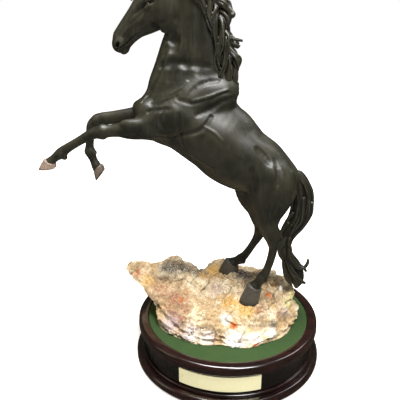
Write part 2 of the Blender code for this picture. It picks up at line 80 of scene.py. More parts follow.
class Finish:
    def __init__(self, name, tone=(1.0, 1.0, 1.0)):
        self.tone = tone
        self.material = bpy.data.materials.new(name)
        self.material.use_nodes = True
        self.tree = self.material.node_tree
        self.shader = self.tree.nodes["Principled BSDF"]
        place = self.node("ShaderNodeTexCoord", {}, {})["Object"]
        # every pattern is laid out in millimetres
        self.place = self.node("ShaderNodeVectorMath", {"operation": "SCALE"}, {0: place, "Scale": 1000.0})

    def node(self, kind, settings, values):
        made = self.tree.nodes.new(kind)
        for key, value in settings.items():
            setattr(made, key, value)
        self.fill(made, values)
        return Wire(self, next(s for s in made.outputs if s.enabled))

    def fill(self, made, values):
        for key, value in values.items():
            if isinstance(key, int):
                socket = made.inputs[key]
            else:
                socket = next(s for s in made.inputs if s.name == key and s.enabled)
            if isinstance(value, Wire):
                self.tree.links.new(value.socket, socket)
            elif isinstance(value, tuple) and len(value) == 3 and socket.type == "RGBA":
                socket.default_value = (*value, 1.0)
            else:
                socket.default_value = value

    def shine(self, **values):  # sets the surface's own sockets: baseColor -> Base Color
        for key, value in values.items():
            name = "".join(" " + c if c.isupper() else c for c in key).title()
            self.fill(self.shader, {name.replace("Ior", "IOR"): value})

    def cloud(self, size, detail=4.0, rough=0.55, warp=0.0, place=None):  # noise with lumps of that size, mm
        at = self.place if place is None else place
        return self.node("ShaderNodeTexNoise", {}, {
            "Vector": at, "Scale": 1.0 / size, "Detail": detail, "Roughness": rough, "Distortion": warp})

    def cells(self, size):
        return self.node("ShaderNodeTexVoronoi", {}, {"Vector": self.place, "Scale": 1.0 / size})

    def stretched(self, x, y, z):
        return self.node("ShaderNodeVectorMath", {"operation": "MULTIPLY"}, {0: self.place, 1: (x, y, z)})

    def mix(self, amount, first, second):
        return self.node("ShaderNodeMix", {"data_type": "RGBA"}, {"Factor": amount, "A": first, "B": second})

    def wash(self, amount, colour):  # one more colour over the tone so far
        self.tone = self.mix(amount, self.tone, colour)

    def painted(self, name):  # a value laid on the mesh's points
        return self.node("ShaderNodeAttribute", {"attribute_name": name}, {})["Fac"]

    def done(self, grain, depth, **values):  # grain standing that many mm high, then the other sockets
        relief = self.node("ShaderNodeBump", {}, {"Height": grain, "Strength": 1.0, "Distance": depth * mm})
        self.shine(baseColor=self.tone, normal=relief, **values)
        return self.material


# glaze tones; crease is painted shade laid into the hollows, full at the hollow depth given last
coatLook = {
    "body": (0.0085, 0.0080, 0.0038), "warm": (0.0190, 0.0168, 0.0078), "worn": (0.042, 0.039, 0.021),
    "crease": (0.0030, 0.0027, 0.0018), "roughness": 0.44, "grainDepth": 0.10, "hollowEnd": 0.55,
}
# the hair's painted shade in its hollows is full at a shallower hollow
hairLook = dict(
    coatLook, body=(0.0080, 0.0072, 0.0048), warm=(0.0150, 0.0130, 0.0080),
    roughness=0.36, grainDepth=0.12, hollowEnd=0.3)


def makeCoat(name, look):
    finish = Finish(name, look["body"])
    hollow = finish.painted("hollow")
    large = finish.cloud(26.0, 3.0)
    brushed = finish.cloud(2.6, 5.0, 0.6, 0.3, finish.stretched(1.0, 1.0, 0.16))
    finish.wash(large.between(0.38, 0.66), look["warm"])
    finish.wash(brushed.between(0.45, 0.8) * 0.35, look["worn"])
    # paler brown on the raised ridges
    finish.wash((0.0 - hollow).between(0.05, 0.5) * 0.55, look["worn"])
    # painted shade: the hollows darkened towards crease
    finish.wash(hollow.between(0.04, look["hollowEnd"]), look["crease"])
    rough = look["roughness"] + (large - 0.5) * 0.14 + (brushed - 0.5) * 0.16 + hollow.between(0.0, 0.6) * 0.2
    grain = finish.cloud(0.7, 2.0) * 0.5 + finish.cloud(2.4, 3.0) * 0.8
    return finish.done(grain, look["grainDepth"], roughness=rough, specularIorLevel=0.5)


hoofLook = {
    "fore": {"wall": (0.155, 0.105, 0.075), "streak": (0.30, 0.22, 0.165), "edge": (0.045, 0.028, 0.018)},
    # painted shade: a darker copy of the fore horn for the far fore hoof
    "smoke": {"wall": (0.085, 0.060, 0.042), "streak": (0.155, 0.115, 0.082), "edge": (0.030, 0.020, 0.014)},
    "hind": {"wall": (0.045, 0.040, 0.030), "streak": (0.095, 0.082, 0.062), "edge": (0.020, 0.015, 0.011)},
}


def makeHoofHorn(name, look):
    finish = Finish(name, look["wall"])
    along = finish.painted("down")
    rings = finish.node("ShaderNodeTexWave", {"bands_direction": "X"}, {
        "Vector": finish.node("ShaderNodeCombineXYZ", {}, {"X": along}), "Scale": 2.4, "Distortion": 1.2})
    streak = finish.cloud(1.1, 4.0, 0.6, 0.4)
    finish.wash(streak.between(0.38, 0.66), look["streak"])
    finish.wash((1.0 - along).between(0.72, 1.0) * 0.8, look["edge"])
    return finish.done(rings * 0.6 + streak * 0.6, 0.14, roughness=0.42 + streak * 0.2)


def makeEye():
    finish = Finish("glass_black_eye", (0.004, 0.0035, 0.003))
    speck = finish.cloud(2.0, 3.0)
    finish.wash(speck.between(0.4, 0.7), (0.018, 0.011, 0.007))
    finish.shine(baseColor=finish.tone, roughness=0.07 + speck * 0.05, coatWeight=0.6, coatRoughness=0.03)
    return finish.material


rockLook = {
    "sand": (0.50, 0.345, 0.18), "cream": (0.82, 0.69, 0.47), "ochre": (0.66, 0.38, 0.095),
    # brown is brown paint, and also a painted contact shadow round the near hind hoof
    "rust": (0.60, 0.15, 0.025), "brown_paint_and_shade": (0.36, 0.17, 0.085), "lilac": (0.56, 0.47, 0.50),
    "slate": (0.085, 0.075, 0.062), "olive": (0.19, 0.17, 0.08), "lime": (0.66, 0.62, 0.20),
    # crevice is painted shade for the cracks and chips
    "white": (0.97, 0.96, 0.90), "crevice_shade": (0.055, 0.032, 0.018), "shade": (0.070, 0.045, 0.030),
}


def makeRockPaint():
    finish = Finish("hand_painted_rock", rockLook["sand"])
    broad = finish.cloud(24.0, 4.0, 0.6, 0.4)
    middle = finish.cloud(8.0, 5.0, 0.65, 0.5)
    fleck = finish.cloud(1.7, 4.0, 0.7)
    finish.wash(broad.between(0.40, 0.66), rockLook["cream"])
    finish.wash(middle.between(0.54, 0.68) * 0.6, rockLook["ochre"])
    finish.wash(finish.painted("ridge") * fleck.between(0.3, 0.6) * 0.7, rockLook["cream"])
    veil = {"brown_paint_and_shade": (middle, 0.30, 0.58), "lilac": (fleck, 0.36, 0.56), "olive": (middle, 0.35, 0.62),
            "lime": (fleck, 0.34, 0.5), "slate": (fleck, 0.30, 0.52), "ochre": (middle, 0.30, 0.5),
            "white": (fleck, 0.34, 0.48), "shade": (fleck, 0.25, 0.45)}
    for name, (pattern, low, high) in veil.items():
        finish.wash(finish.painted(name) * pattern.between(low, high), rockLook[name])
    finish.wash(fleck.between(0.55, 0.66) * (0.8 - 0.8 * finish.painted("white")), rockLook["slate"])
    finish.wash((1.0 - fleck).between(0.57, 0.70) * 0.8, rockLook["white"])
    finish.wash(finish.painted("rust"), rockLook["rust"])
    # painted shade darkening the cracks and chips
    finish.wash(finish.painted("crevice_shade"), rockLook["crevice_shade"])
    grain = finish.cloud(0.55, 3.0, 0.7) * 0.7 + fleck * 0.8 + finish.cells(3.4)["Distance"] * 0.5
    return finish.done(grain, 0.45, roughness=0.72 + fleck * 0.2, specularIorLevel=0.35)


woodLook = {
    "rim": {"dark": (0.0060, 0.0022, 0.0018), "light": (0.0230, 0.0062, 0.0046), "roughness": 0.16},
    "drum": {"dark": (0.0026, 0.0016, 0.0014), "light": (0.0070, 0.0032, 0.0028), "roughness": 0.16},
}


def makeWood(name, look):  # dark stained timber under polish, grain round the turning
    finish = Finish(name, look["dark"])
    fine = finish.cloud(2.2, 6.0, 0.65, 0.6, finish.stretched(0.07, 0.3, 1.0))
    flame = finish.cloud(15.0, 3.0, 0.5, 1.2, finish.stretched(0.25, 0.6, 1.0))
    pores = finish.cloud(0.6, 2.0, 0.5, 0.0, finish.stretched(0.06, 0.2, 1.0))
    finish.wash(fine.between(0.36, 0.66), look["light"])
    finish.wash(flame.between(0.4, 0.7) * 0.55, look["dark"])
    rough = look["roughness"] + fine * 0.10 + pores * 0.05
    return finish.done(fine * 0.5 + pores * 0.5, 0.02, roughness=rough, coatWeight=0.55, coatRoughness=0.10)


clothLook = {"deep": (0.012, 0.032, 0.008), "leaf": (0.038, 0.070, 0.014), "lint": (0.080, 0.125, 0.035)}


def makeBaize(name):
    finish = Finish(name, clothLook["deep"])
    nap = finish.cloud(0.55, 4.0, 0.7)
    fibre = finish.cloud(1.4, 4.0, 0.7, 2.5, finish.stretched(1.0, 0.35, 1.0))
    shade = finish.cloud(17.0, 3.0)
    finish.wash(nap.between(0.3, 0.7), clothLook["leaf"])
    finish.wash(fibre.between(0.55, 0.8) * 0.5, clothLook["lint"])
    finish.wash(shade.between(0.4, 0.75) * 0.25, clothLook["deep"])
    finish.shine(sheenWeight=0.35, sheenRoughness=0.5, sheenTint=(0.5, 0.8, 0.5))
    return finish.done(nap + fibre, 0.28, roughness=0.88 + nap * 0.1, specularIorLevel=0.2)


metalLook = {
    "brass": {"clean": (0.98, 0.92, 0.58), "dull": (0.90, 0.76, 0.42), "roughness": 0.36, "metallic": 0.4},
    "steel": {"clean": (0.60, 0.60, 0.61), "dull": (0.36, 0.35, 0.34), "roughness": 0.33, "metallic": 1.0},
}


def makeMetal(name, look):
    finish = Finish(name, look["clean"])
    brushed = finish.cloud(0.8, 3.0, 0.6, 0.0, finish.stretched(0.05, 0.05, 1.0))
    tarnish = finish.cloud(6.5, 5.0, 0.6, 0.8)
    finish.wash(tarnish.between(0.52, 0.78) * 0.5, look["dull"])
    rough = look["roughness"] + tarnish.between(0.4, 0.75) * 0.16 + brushed * 0.08
    return finish.done(brushed, 0.015, roughness=rough, metallic=look["metallic"])


def makeStudioWhite():
    finish = Finish("studio_floor")
    soft = finish.cloud(220.0, 2.0)
    tone = finish.mix(soft.between(0.3, 0.7), (0.86, 0.855, 0.845), (0.90, 0.895, 0.885))
    finish.shine(baseColor=tone, roughness=0.8 + soft * 0.1)
    # painted light: the floor glows, dimmer near the figure and full white far off
    away = finish.node("ShaderNodeVectorMath", {"operation": "LENGTH"}, {0: finish.place})
    glow = finish.mix(away.between(150.0, 900.0), (0.60, 0.575, 0.535), (1.0, 1.0, 1.0))
    finish.shine(emissionColor=glow, emissionStrength=1.0)
    return finish.material


coatGlaze = makeCoat("black_coat_glaze", coatLook)
hairGlaze = makeCoat("black_hair_glaze", hairLook)
foreHorn = makeHoofHorn("pale_hoof_horn", hoofLook["fore"])
# the far fore hoof's horn, darkened as painted shade
shadedForeHorn = makeHoofHorn("shaded_fore_hoof_horn", hoofLook["smoke"])
hindHorn = makeHoofHorn("dark_hoof_horn", hoofLook["hind"])
eyeGlass = makeEye()
rockPaint = makeRockPaint()
rimWood = makeWood("mahogany_polish", woodLook["rim"])
drumWood = makeWood("dark_drum_polish", woodLook["drum"])
baizeCloth = makeBaize("green_baize_nap")
feltCloth = makeBaize("underside_felt_nap")
brassMetal = makeMetal("plaque_brass", metalLook["brass"])
steelMetal = makeMetal("fixing_steel", metalLook["steel"])
print("finishes made")


# curves, and a block of modelling clay held as a distance field
def easedPath(rows, between):  # smooth curve through the rows
    rows = np.asarray(rows, float)
    out = []
    for i in range(len(rows) - 1):
        a, b = rows[max(i - 1, 0)], rows[i]
        c, d = rows[i + 1], rows[min(i + 2, len(rows) - 1)]
        for t in np.arange(between) / between:
            bend = (2 * a - 5 * b + 4 * c - d) * t * t + (3 * b - a - 3 * c + d) * t ** 3
            out.append(0.5 * (2 * b + (c - a) * t + bend))
    out.append(rows[-1])
    return np.array(out)


def unit(v):
    return v / max(np.linalg.norm(v), 1e-9)


def oval(parts, radii):  # distance to an oval, from each part of the way out in its own radius
    out = np.sqrt(sum(p * p for p in parts))
    steep = np.sqrt(sum((p / r) ** 2 for p, r in zip(parts, radii)))
    return out * (out - 1) / np.maximum(steep, 1e-4)


# grain of the clay in mm, for the full and the quick build
fineness = {"horse": (0.85, 1.6), "mane": (0.66, 0.9), "forelock": (0.5, 0.9), "tail": (0.55, 0.9)}


class Clay:
    far = 12.0

    def __init__(self, name, low, high):
        step = fineness[name][int(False)]
        self.low = np.array(low, float)
        self.step = step
        self.size = np.ceil((np.array(high) - self.low) / step).astype(int) + 1
        self.field = np.full(self.size, self.far, np.float32)

    def window(self, low, high):
        first = np.clip(np.floor((np.array(low) - self.low) / self.step), 0, self.size - 1).astype(int)
        last = np.clip(np.ceil((np.array(high) - self.low) / self.step) + 1, 1, self.size).astype(int)
        last = np.maximum(last, first + 1)
        lines = [(self.low[i] + self.step * np.arange(first[i], last[i])).astype(np.float32) for i in range(3)]
        box = tuple(slice(a, b) for a, b in zip(first, last))
        return box, lines[0][:, None, None], lines[1][None, :, None], lines[2][None, None, :]

    def put(self, box, dist, soft, carve=False):  # blend a shape in, or carve it out
        sign = -1 if carve else 1
        here = sign * self.field[box]
        share = np.clip(0.5 + 0.5 * (here - dist) / soft, 0, 1)
        self.field[box] = sign * (here * (1 - share) + dist * share - soft * share * (1 - share))

    def sweep(self, path, pads, distance, soft, carve=False):
        # the nearest of the distances measured from each stretch of the path
        reach = pads.max()
        box = self.window(path.min(axis=0) - reach, path.max(axis=0) + reach)[0]
        whole = np.full([s.stop - s.start for s in box], self.far, np.float32)
        for n, (a, b) in enumerate(zip(path[:-1], path[1:])):
            near, x, y, z = self.window(np.minimum(a, b) - pads[n], np.maximum(a, b) + pads[n])
            dist = distance(n, b - a, x - a[0], y - a[1], z - a[2])
            part = tuple(slice(m.start - o.start, m.stop - o.start) for m, o in zip(near, box))
            whole[part] = np.minimum(whole[part], dist)
        self.put(box, whole, soft, carve)

    def limb(self, stations, soft, between=5, margin=6.0):
        # oval sections along a spine: x, y, z, half depth in the middle plane, half width across it
        rows = easedPath(stations, between)

        def distance(n, step, x, y, z):
            length = np.linalg.norm(step)
            along = unit(step)
            across = np.array((0.0, 1.0, 0.0))
            across = unit(across - along * across.dot(along))
            deep = np.cross(along, across)
            run = x * along[0] + y * along[1] + z * along[2]
            t = np.clip(run / length, 0, 1)
            thick, wide = (rows[n, k] + (rows[n + 1, k] - rows[n, k]) * t for k in (3, 4))
            end = np.minimum(thick, wide)
            u = (x * deep[0] + y * deep[1] + z * deep[2]) / thick
            v = (x * across[0] + y * across[1] + z * across[2]) / wide
            return oval((u, v, (run - t * length) / end), (thick, wide, end))

        widest = rows[:, 3:].max(axis=1)
        pads = np.append(np.maximum(widest[:-1], widest[1:]), widest.max()) + margin
        self.sweep(rows[:, :3], pads, distance, soft)

    def lump(self, centre, radii, tilt=0.0, soft=5.0, carve=False):
        # radii: along the tilt (degrees from +X up), across, and square to both
        turn = math.radians(tilt)
        along = np.array((math.cos(turn), 0.0, math.sin(turn)))
        across = np.array((0.0, 1.0, 0.0))
        pad = max(radii) + soft + 1.0
        box, x, y, z = self.window(np.array(centre) - pad, np.array(centre) + pad)
        x, y, z = x - centre[0], y - centre[1], z - centre[2]
        axes = zip((along, across, np.cross(along, across)), radii)
        self.put(box, oval([(x * d[0] + y * d[1] + z * d[2]) / r for d, r in axes], radii), soft, carve)

    def cord(self, path, radii, soft, carve=False):  # a round strand through the points
        path = np.asarray(path, float)
        radii = np.broadcast_to(np.asarray(radii, float), len(path))

        def distance(n, step, x, y, z):
            t = np.clip((x * step[0] + y * step[1] + z * step[2]) / max(step.dot(step), 1e-9), 0, 1)
            gap = np.sqrt((x - t * step[0]) ** 2 + (y - t * step[1]) ** 2 + (z - t * step[2]) ** 2)
            return gap - (radii[n] + (radii[n + 1] - radii[n]) * t)

        pads = np.full(len(path), radii.max() + soft + 1.5 * self.step)
        self.sweep(path, pads, distance, soft, carve)

    def slopeAt(self, point):
        i, j, k = np.clip(np.round((point - self.low) / self.step).astype(int), 2, self.size - 3)
        f = self.field
        return unit(np.array((f[i + 2, j, k] - f[i - 2, j, k], f[i, j + 2, k] - f[i, j - 2, k],
                              f[i, j, k + 2] - f[i, j, k - 2]), float))

    def skinPoint(self, x, z, side):  # where a pin pushed in from that side meets the surface
        i, k = np.clip(np.round(((x - self.low[0]) / self.step, (z - self.low[2]) / self.step)).astype(int),
                       0, (self.size[0] - 1, self.size[2] - 1))
        column = self.field[i, :, k]
        inside = np.nonzero(column < 0)[0]
        if len(inside) == 0:
            return None
        j = inside[0] if side < 0 else inside[-1]
        o = j - 1 if side < 0 else j + 1
        share = column[j] / (column[j] - column[o])
        return np.array((x, self.low[1] + self.step * (j + (o - j) * share), z))

    def drawn(self, points, side, lift):  # a line drawn on the skin, raised by lift along the surface's normal
        line = []
        for x, z in easedPath(points, 8):
            at = self.skinPoint(x, z, side)
            if at is not None:
                line.append(at + self.slopeAt(at) * lift)
        return line

    def crease(self, points, depth, radius=1.6, soft=1.5, sides=(-1, 1)):
        for side in sides:
            line = self.drawn(points, side, radius - depth)
            if len(line) > 2:
                fade = np.sin(np.linspace(0.12, math.pi - 0.12, len(line))) ** 0.5
                self.cord(line, radius * (0.35 + 0.65 * fade), soft, carve=True)

    def vein(self, points, height, radius=1.2, soft=1.5, sides=(-1, 1)):
        for side in sides:
            line = self.drawn(points, side, height - radius)
            if len(line) > 2:
                fade = np.sin(np.linspace(0.15, math.pi - 0.15, len(line))) ** 0.5
                self.cord(line, radius * (0.5 + 0.5 * fade), soft)

    def cast(self, name, rounds=2):  # the surface as a mesh object, in metres, with its hollows painted
        grid = openvdb.FloatGrid(self.far)
        grid.copyFromArray(self.field)
        points, quads = grid.convertToQuads(0.0)
        points, quads = largestPart(points * self.step + self.low, quads.astype(int))
        edges = np.vstack([quads[:, [k, (k + 1) % 4]] for k in range(4)])
        edges = np.unique(np.sort(edges, axis=1), axis=0)
        edges = np.vstack([edges, edges[:, ::-1]])
        count = np.bincount(edges[:, 0], minlength=len(points))

        def around(values):
            if values.ndim == 1:
                return np.bincount(edges[:, 0], values[edges[:, 1]], len(points)) / count
            return np.stack([around(values[:, k]) for k in range(3)], axis=1)

        for _ in range(rounds):
            points = points + 0.55 * (around(points) - points)
            points = points - 0.50 * (around(points) - points)
        normals = np.zeros_like(points)
        first = np.cross(points[quads[:, 2]] - points[quads[:, 0]], points[quads[:, 3]] - points[quads[:, 1]])
        for k in range(4):
            for axis in range(3):
                normals[:, axis] += np.bincount(quads[:, k], first[:, axis], len(points))
        normals /= np.maximum(np.linalg.norm(normals, axis=1), 1e-9)[:, None]
        middle = points[quads].mean(axis=1)
        if (first * (middle - points.mean(axis=0))).sum() < 0:
            quads = quads[:, ::-1]
            normals = -normals
        dip = ((around(points) - points) * normals).sum(axis=1) / self.step ** 2 * 2.0
        for _ in range(3):
            dip = around(dip)
        mesh = bpy.data.meshes.new(name)
        mesh.from_pydata((points * mm).tolist(), [], quads.tolist())
        layer = mesh.attributes.new("hollow", "FLOAT", "POINT")
        layer.data.foreach_set("value", np.clip(dip * 2.2, -1, 1).astype(np.float32))
        mesh.shade_smooth()
        return placed(name, mesh)


def largestPart(points, quads):  # leaves out crumbs that touch nothing
    label = np.arange(len(points))
    while True:
        spread = label.copy()
        np.minimum.at(spread, quads.ravel(), np.repeat(label[quads].min(axis=1), 4))
        spread = spread[spread]
        if (spread == label).all():
            break
        label = spread
    keep = label == np.bincount(label).argmax()
    return points[keep], (np.cumsum(keep) - 1)[quads[keep[quads[:, 0]]]]


def placed(name, data):  # an object in the scene with that mesh, lamp or lens
    piece = bpy.data.objects.new(name, data)
    bpy.context.scene.collection.objects.link(piece)
    return piece


def meshed(name, shape, sharp=180):  # a placed piece, its edges kept crisp past that many degrees
    mesh = bpy.data.meshes.new(name)
    shape.to_mesh(mesh)
    shape.free()
    mesh.shade_smooth()
    mesh.set_sharp_from_angle(angle=math.radians(sharp))
    return placed(name, mesh)


def skinned(shape, rings, ends=True):  # faces from ring to ring, then one over each end
    for low, high in zip(rings, rings[1:]):
        for k in range(len(low)):
            shape.faces.new((low[k - 1], low[k], high[k], high[k - 1]))
    if ends:
        shape.faces.new(rings[0][::-1])
        shape.faces.new(rings[-1])
    bmesh.ops.recalc_face_normals(shape, faces=shape.faces)


def finished(piece, skin, slot, *nodes):  # finish, body, slot (not used) and the CAD nodes it stands for
    piece.data.materials.clear()
    piece.data.materials.append(skin)
    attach(piece, "root")
    if nodes:
        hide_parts(*nodes)


# the figure's spines, millimetres: x, y, z, half depth, half width
horseShape = {
    "barrel": [
        (-91, 0, 284, 8, 9), (-86, 0, 281.5, 16, 17), (-75, 0, 278, 23, 25), (-52, 0, 275, 26, 28.5),
        (-32, 0, 265.5, 34, 30.5), (-13, 0, 257, 38, 32.5), (-2, 0, 246.5, 37.5, 33), (8, 0, 238.5, 35, 33),
        (20, 0, 232.5, 32, 32.5), (33, 0, 229, 26.5, 31), (48, 0, 223, 19, 26), (57, 0, 216, 16, 19),
        (62.5, 0, 212.5, 10.5, 12)],
    "neck": [
        (-45, 0, 272, 42, 27), (-43, 0, 290, 45, 26), (-42, 0, 304, 44, 23), (-40, 0, 319, 40.5, 18.5),
        (-38, 0, 336, 36.5, 15.6), (-36, 0, 353, 32.5, 14.4), (-36, 0, 371, 27.5, 13.5),
        (-40, 0, 388, 22, 12.5), (-47, 0, 401, 15, 11)],
    "head": [
        (-50, 0, 407, 9, 8), (-59, 0, 401, 16.5, 12.5), (-68, 0, 390.5, 22.5, 13.5), (-77.5, 0, 382, 21, 12.5),
        (-87, 0, 374, 17, 10.5), (-96, 0, 367, 13.2, 8.8), (-104, 0, 359.5, 11.2, 8.6),
        (-109.5, 0, 353, 10.2, 8.8), (-112.5, 0, 348.5, 8.4, 7.8)],
    "left_foreleg": [
        (-40, -17, 296, 15, 11), (-56, -20, 284, 19, 13), (-73, -23, 273, 15.5, 12),
        (-88, -24, 270.5, 10.8, 9.6), (-103, -24, 268.5, 8.3, 7.8), (-118, -24, 266.6, 6.4, 6.2),
        (-129, -24, 265.2, 6.7, 6.6), (-140, -24, 262.5, 5.6, 5.6), (-153, -24, 255.5, 4.6, 4.3),
        (-167, -24, 247.2, 4.8, 4.3), (-175, -24, 241.5, 5.6, 5.3), (-183, -24, 235.5, 4.4, 4.3),
        (-188, -24, 231, 5.2, 5.6), (-190, -24, 228.5, 5.6, 6.0)],
    "right_foreleg": [
        (-40, 17, 298, 15, 11), (-58, 19, 286, 18, 13), (-80, 21, 277, 13.5, 11), (-101, 22, 273, 10.8, 9.3),
        (-116, 22, 272, 8.8, 8), (-132, 22, 270.5, 7.2, 6.9), (-146, 22, 268, 7.2, 6.9),
        (-155, 22, 262, 6.4, 6.2), (-158.5, 22, 251.5, 5.1, 4.8), (-160.5, 22, 239, 4.6, 4.3),
        (-160.5, 22, 231, 5.7, 5.3), (-157.5, 22, 222, 4.5, 4.4), (-155, 22, 215.5, 5.2, 5.6),
        (-153.5, 22, 212, 5.6, 6.0)],
    "left_hind_leg": [
        (45, -14, 229, 14, 12), (46, -18, 222, 19, 16), (45, -21, 212, 24.5, 15.5), (43, -22, 198, 21, 13),
        (41, -22, 184, 15.5, 10.6), (42, -22, 170, 10.4, 8.2), (45.5, -22, 159, 7.6, 6.6),
        (48.8, -22, 148, 5.2, 5.2), (46.8, -22, 132, 4.4, 4.3), (42.5, -22, 117, 4.5, 4.4),
        (38.5, -22, 108.5, 5.6, 5.2), (34, -22, 101.5, 5.2, 5.4), (31, -22, 97.2, 6.8, 7.0)],
    "right_hind_leg": [
        (42, 14, 229, 14, 12), (36, 18, 220, 23, 16), (29, 20, 205, 27, 15.5), (27, 20, 190, 21.5, 13),
        (31, 20, 175, 14.6, 10.6), (33, 20, 162, 10.4, 8.2), (35, 20, 151, 7.8, 6.8), (32, 20, 139, 5.6, 5.2),
        (26.3, 20, 128, 4.4, 4.4), (19.5, 20, 116.5, 4.6, 4.5), (13, 20, 108.5, 5.6, 5.2),
        (6.5, 20, 104.8, 5.2, 5.4), (3, 20, 102.4, 6.6, 7.0)],
}
# muscles: centre on the left side, radii, tilt, softness of the join; each has its twin on the right
muscles = [
    ((-27, -11.5, 301), (29, 14.5, 17), 10, 9), ((-8, -8, 305), (14, 10, 13), 60, 8),
    ((-52, -25, 281), (21, 8, 12), 8, 5), ((-55, -29, 283), (11, 4.5, 6.5), 84, 4),
    ((-84, -17, 287), (10, 9, 9), 20, 6), ((-90, -8, 286), (9, 8, 11), 60, 4),
    ((-72, -13, 262), (17, 9, 8), -30, 6), ((-20, -17, 259), (40, 18, 25), -26, 8),
    ((14, -19, 238), (30, 14, 25), -28, 8), ((35, -12, 245), (18, 10, 9), -28, 6),
    ((42, -17, 228), (20, 13, 11.5), -52, 6), ((38, -26, 219), (20, 8, 13), 62, 6),
    ((55, -19, 209), (22, 9, 8), 70, 5), ((33, -25, 200), (10, 6, 9), 80, 5),
    ((-60, -9, 322), (34, 5.5, 11), 74, 6), ((-36, -9, 334), (44, 6, 9), 86, 6),
    ((-22, -8, 330), (34, 6, 8), 98, 6), ((-66, -10.2, 382), (15.5, 4.2, 14.5), 90, 3),
    ((-62, -8.5, 367), (9, 4, 7), 30, 3),
]
legMuscles = [
    ((-92, -28, 273.5), (17, 5.5, 6), -6, 3), ((-92, -26, 264), (17, 5, 5), 4, 3),
    ((-76, -31, 268), (8, 4, 6), 10, 3), ((-129, -24, 266.5), (5.5, 7, 6.6), -20, 2),
    ((-130, -24, 260.5), (5, 5, 3), -20, 2), ((-174, -24, 240.5), (4.5, 5.6, 6), -38, 2),
    ((-171.5, -24, 236.5), (2.6, 3.4, 2.6), -38, 1.5), ((44, -27, 183), (16, 5, 8), 82, 4),
    ((38, -20, 181), (14, 5, 6), 100, 4), ((51.5, -22, 165), (11, 3.6, 3.4), 122, 2.5),
    ((51.5, -22, 157), (4.6, 4.0, 3.4), 108, 2), ((47.5, -22, 152), (6.5, 6.0, 5.2), 100, 2.5),
    ((38.5, -22, 109), (4.6, 5.6, 5.2), 60, 2), ((42.2, -22, 106.5), (2.6, 3.4, 2.8), 60, 1.5),
]
farLegMuscles = [
    ((-98, 26, 276), (18, 5.5, 6), -4, 3), ((-98, 24, 267.5), (18, 5, 5), 2, 3),
    ((-149, 22, 267.5), (6.5, 7.2, 6.4), -30, 2), ((-160.8, 22, 231), (5.2, 5.6, 6), 84, 2),
    ((-155.6, 22, 230), (2.6, 3.4, 2.6), 84, 1.5), ((34, 25, 178), (16, 5, 7.5), 94, 4),
    ((27, 20, 178), (14, 5, 6), 98, 4), ((41, 20, 162), (11, 3.4, 3.2), 92, 2.5),
    ((41, 20, 150), (5, 4.0, 3.8), 80, 2), ((34, 20, 148), (6.5, 6.2, 5.6), 74, 2.5),
    ((13, 20, 108.5), (4.6, 5.6, 5.6), 40, 2), ((16.4, 20, 105.2), (2.6, 3.4, 2.8), 40, 1.5),
]
# folds drawn on the skin: the line as x, z points, depth, radius of the tool, softness
folds = [
    ([(-72, 265), (-57, 262), (-48, 266), (-30, 271), (-22.5, 277), (-18, 284)], 1.5, 2.0, 2.5),
    ([(-46.5, 269), (-46.8, 263), (-46, 257)], 1.1), ([(-49, 287), (-48, 280), (-50, 272)], 1.0, 2.0, 2.0),
    ([(-41, 301), (-37, 307), (-30, 313), (-22, 316), (-12, 317)], 1.3, 2.2, 3.0),
    ([(-31, 286), (-23, 289.5), (-15, 293.6), (-8, 297.5), (2, 301)], 1.6, 2.2, 3.0),
    ([(-70, 330), (-56, 333), (-40, 332), (-22, 330)], 1.5, 3.0, 4.0),
    ([(-50, 300), (-36, 297), (-24, 300)], 0.9, 2.0, 2.5),
    ([(-77, 294), (-64, 297), (-51, 303)], 1.2, 2.0, 2.5),
    ([(-80, 287), (-70, 290), (-58, 291)], 1.1, 2.0, 2.5),
    ([(-64, 288), (-66, 280), (-64, 273)], 0.9, 2.0, 2.0),
    ([(-64, 346), (-71, 326), (-82, 302)], 1.6, 2.6, 3.5),
    ([(-66, 356), (-59, 353), (-52, 351)], 1.2, 1.8, 2.5),
    ([(-51, 394), (-52, 370), (-56, 345), (-60, 318)], 1.2, 4.5, 5.0),
    ([(-41, 392), (-41, 365), (-44, 330)], 1.0, 4.0, 5.0),
    ([(-33, 388), (-31, 355), (-32, 325)], 0.8, 4.0, 5.0), ([(28, 254), (33, 249), (41, 240)], 1.6, 3.2, 3.5),
    ([(46, 242), (49, 232), (49, 220)], 0.8, 2.6, 3.5), ([(23, 232), (26, 221), (27, 210)], 1.8, 3.2, 4.0),
    ([(66, 214), (62, 200), (58, 188)], 0.8, 2.5, 3.0), ([(52, 198), (50, 184), (49, 170)], 0.8, 2.0, 2.5),
    ([(-20, 300), (-8, 306), (0, 306)], 0.8, 1.8, 2.0),
]
# veins: height, then the line
veins = [
    (1.3, [(-36, 299), (-24, 302), (-12, 306), (-3, 309)]), (0.9, [(-62, 303), (-50, 309), (-42, 316)]),
    (0.9, [(-67, 338), (-76, 316), (-90, 293)]), (0.45, [(-10, 231), (-24, 237), (-38, 246), (-47, 255)]),
    (0.4, [(-92, 266), (-104, 264), (-117, 263)]), (0.4, [(36, 190), (41, 178), (45, 166)]),
    (0.4, [(-6, 262), (-14, 270), (-24, 275)]),
]
print("sculpting the horse")


def sculptHorse():
    clay = Clay("horse", (-206, -44, 70), (100, 44, 440))
    clay.limb(horseShape["barrel"], 4.0)
    clay.limb(horseShape["neck"], 10.0)
    clay.limb(horseShape["head"], 4.0)
    for name in ("left_hind_leg", "right_hind_leg", "left_foreleg", "right_foreleg"):
        clay.limb(horseShape[name], 7.0)
    for (x, y, z), radii, tilt, soft in muscles:
        for side in (1, -1):
            clay.lump((x, side * y, z), radii, tilt, soft)
    for centre, radii, tilt, soft in legMuscles + farLegMuscles:
        clay.lump(centre, radii, tilt, soft)
    shapeUnderside(clay)
    for fold in folds:
        clay.crease(*fold)
    for height, line in veins:
        clay.vein(line, height)
    shapeFace(clay)
    for side in (-1, 1):
        shapeEar(clay, side)
    return clay


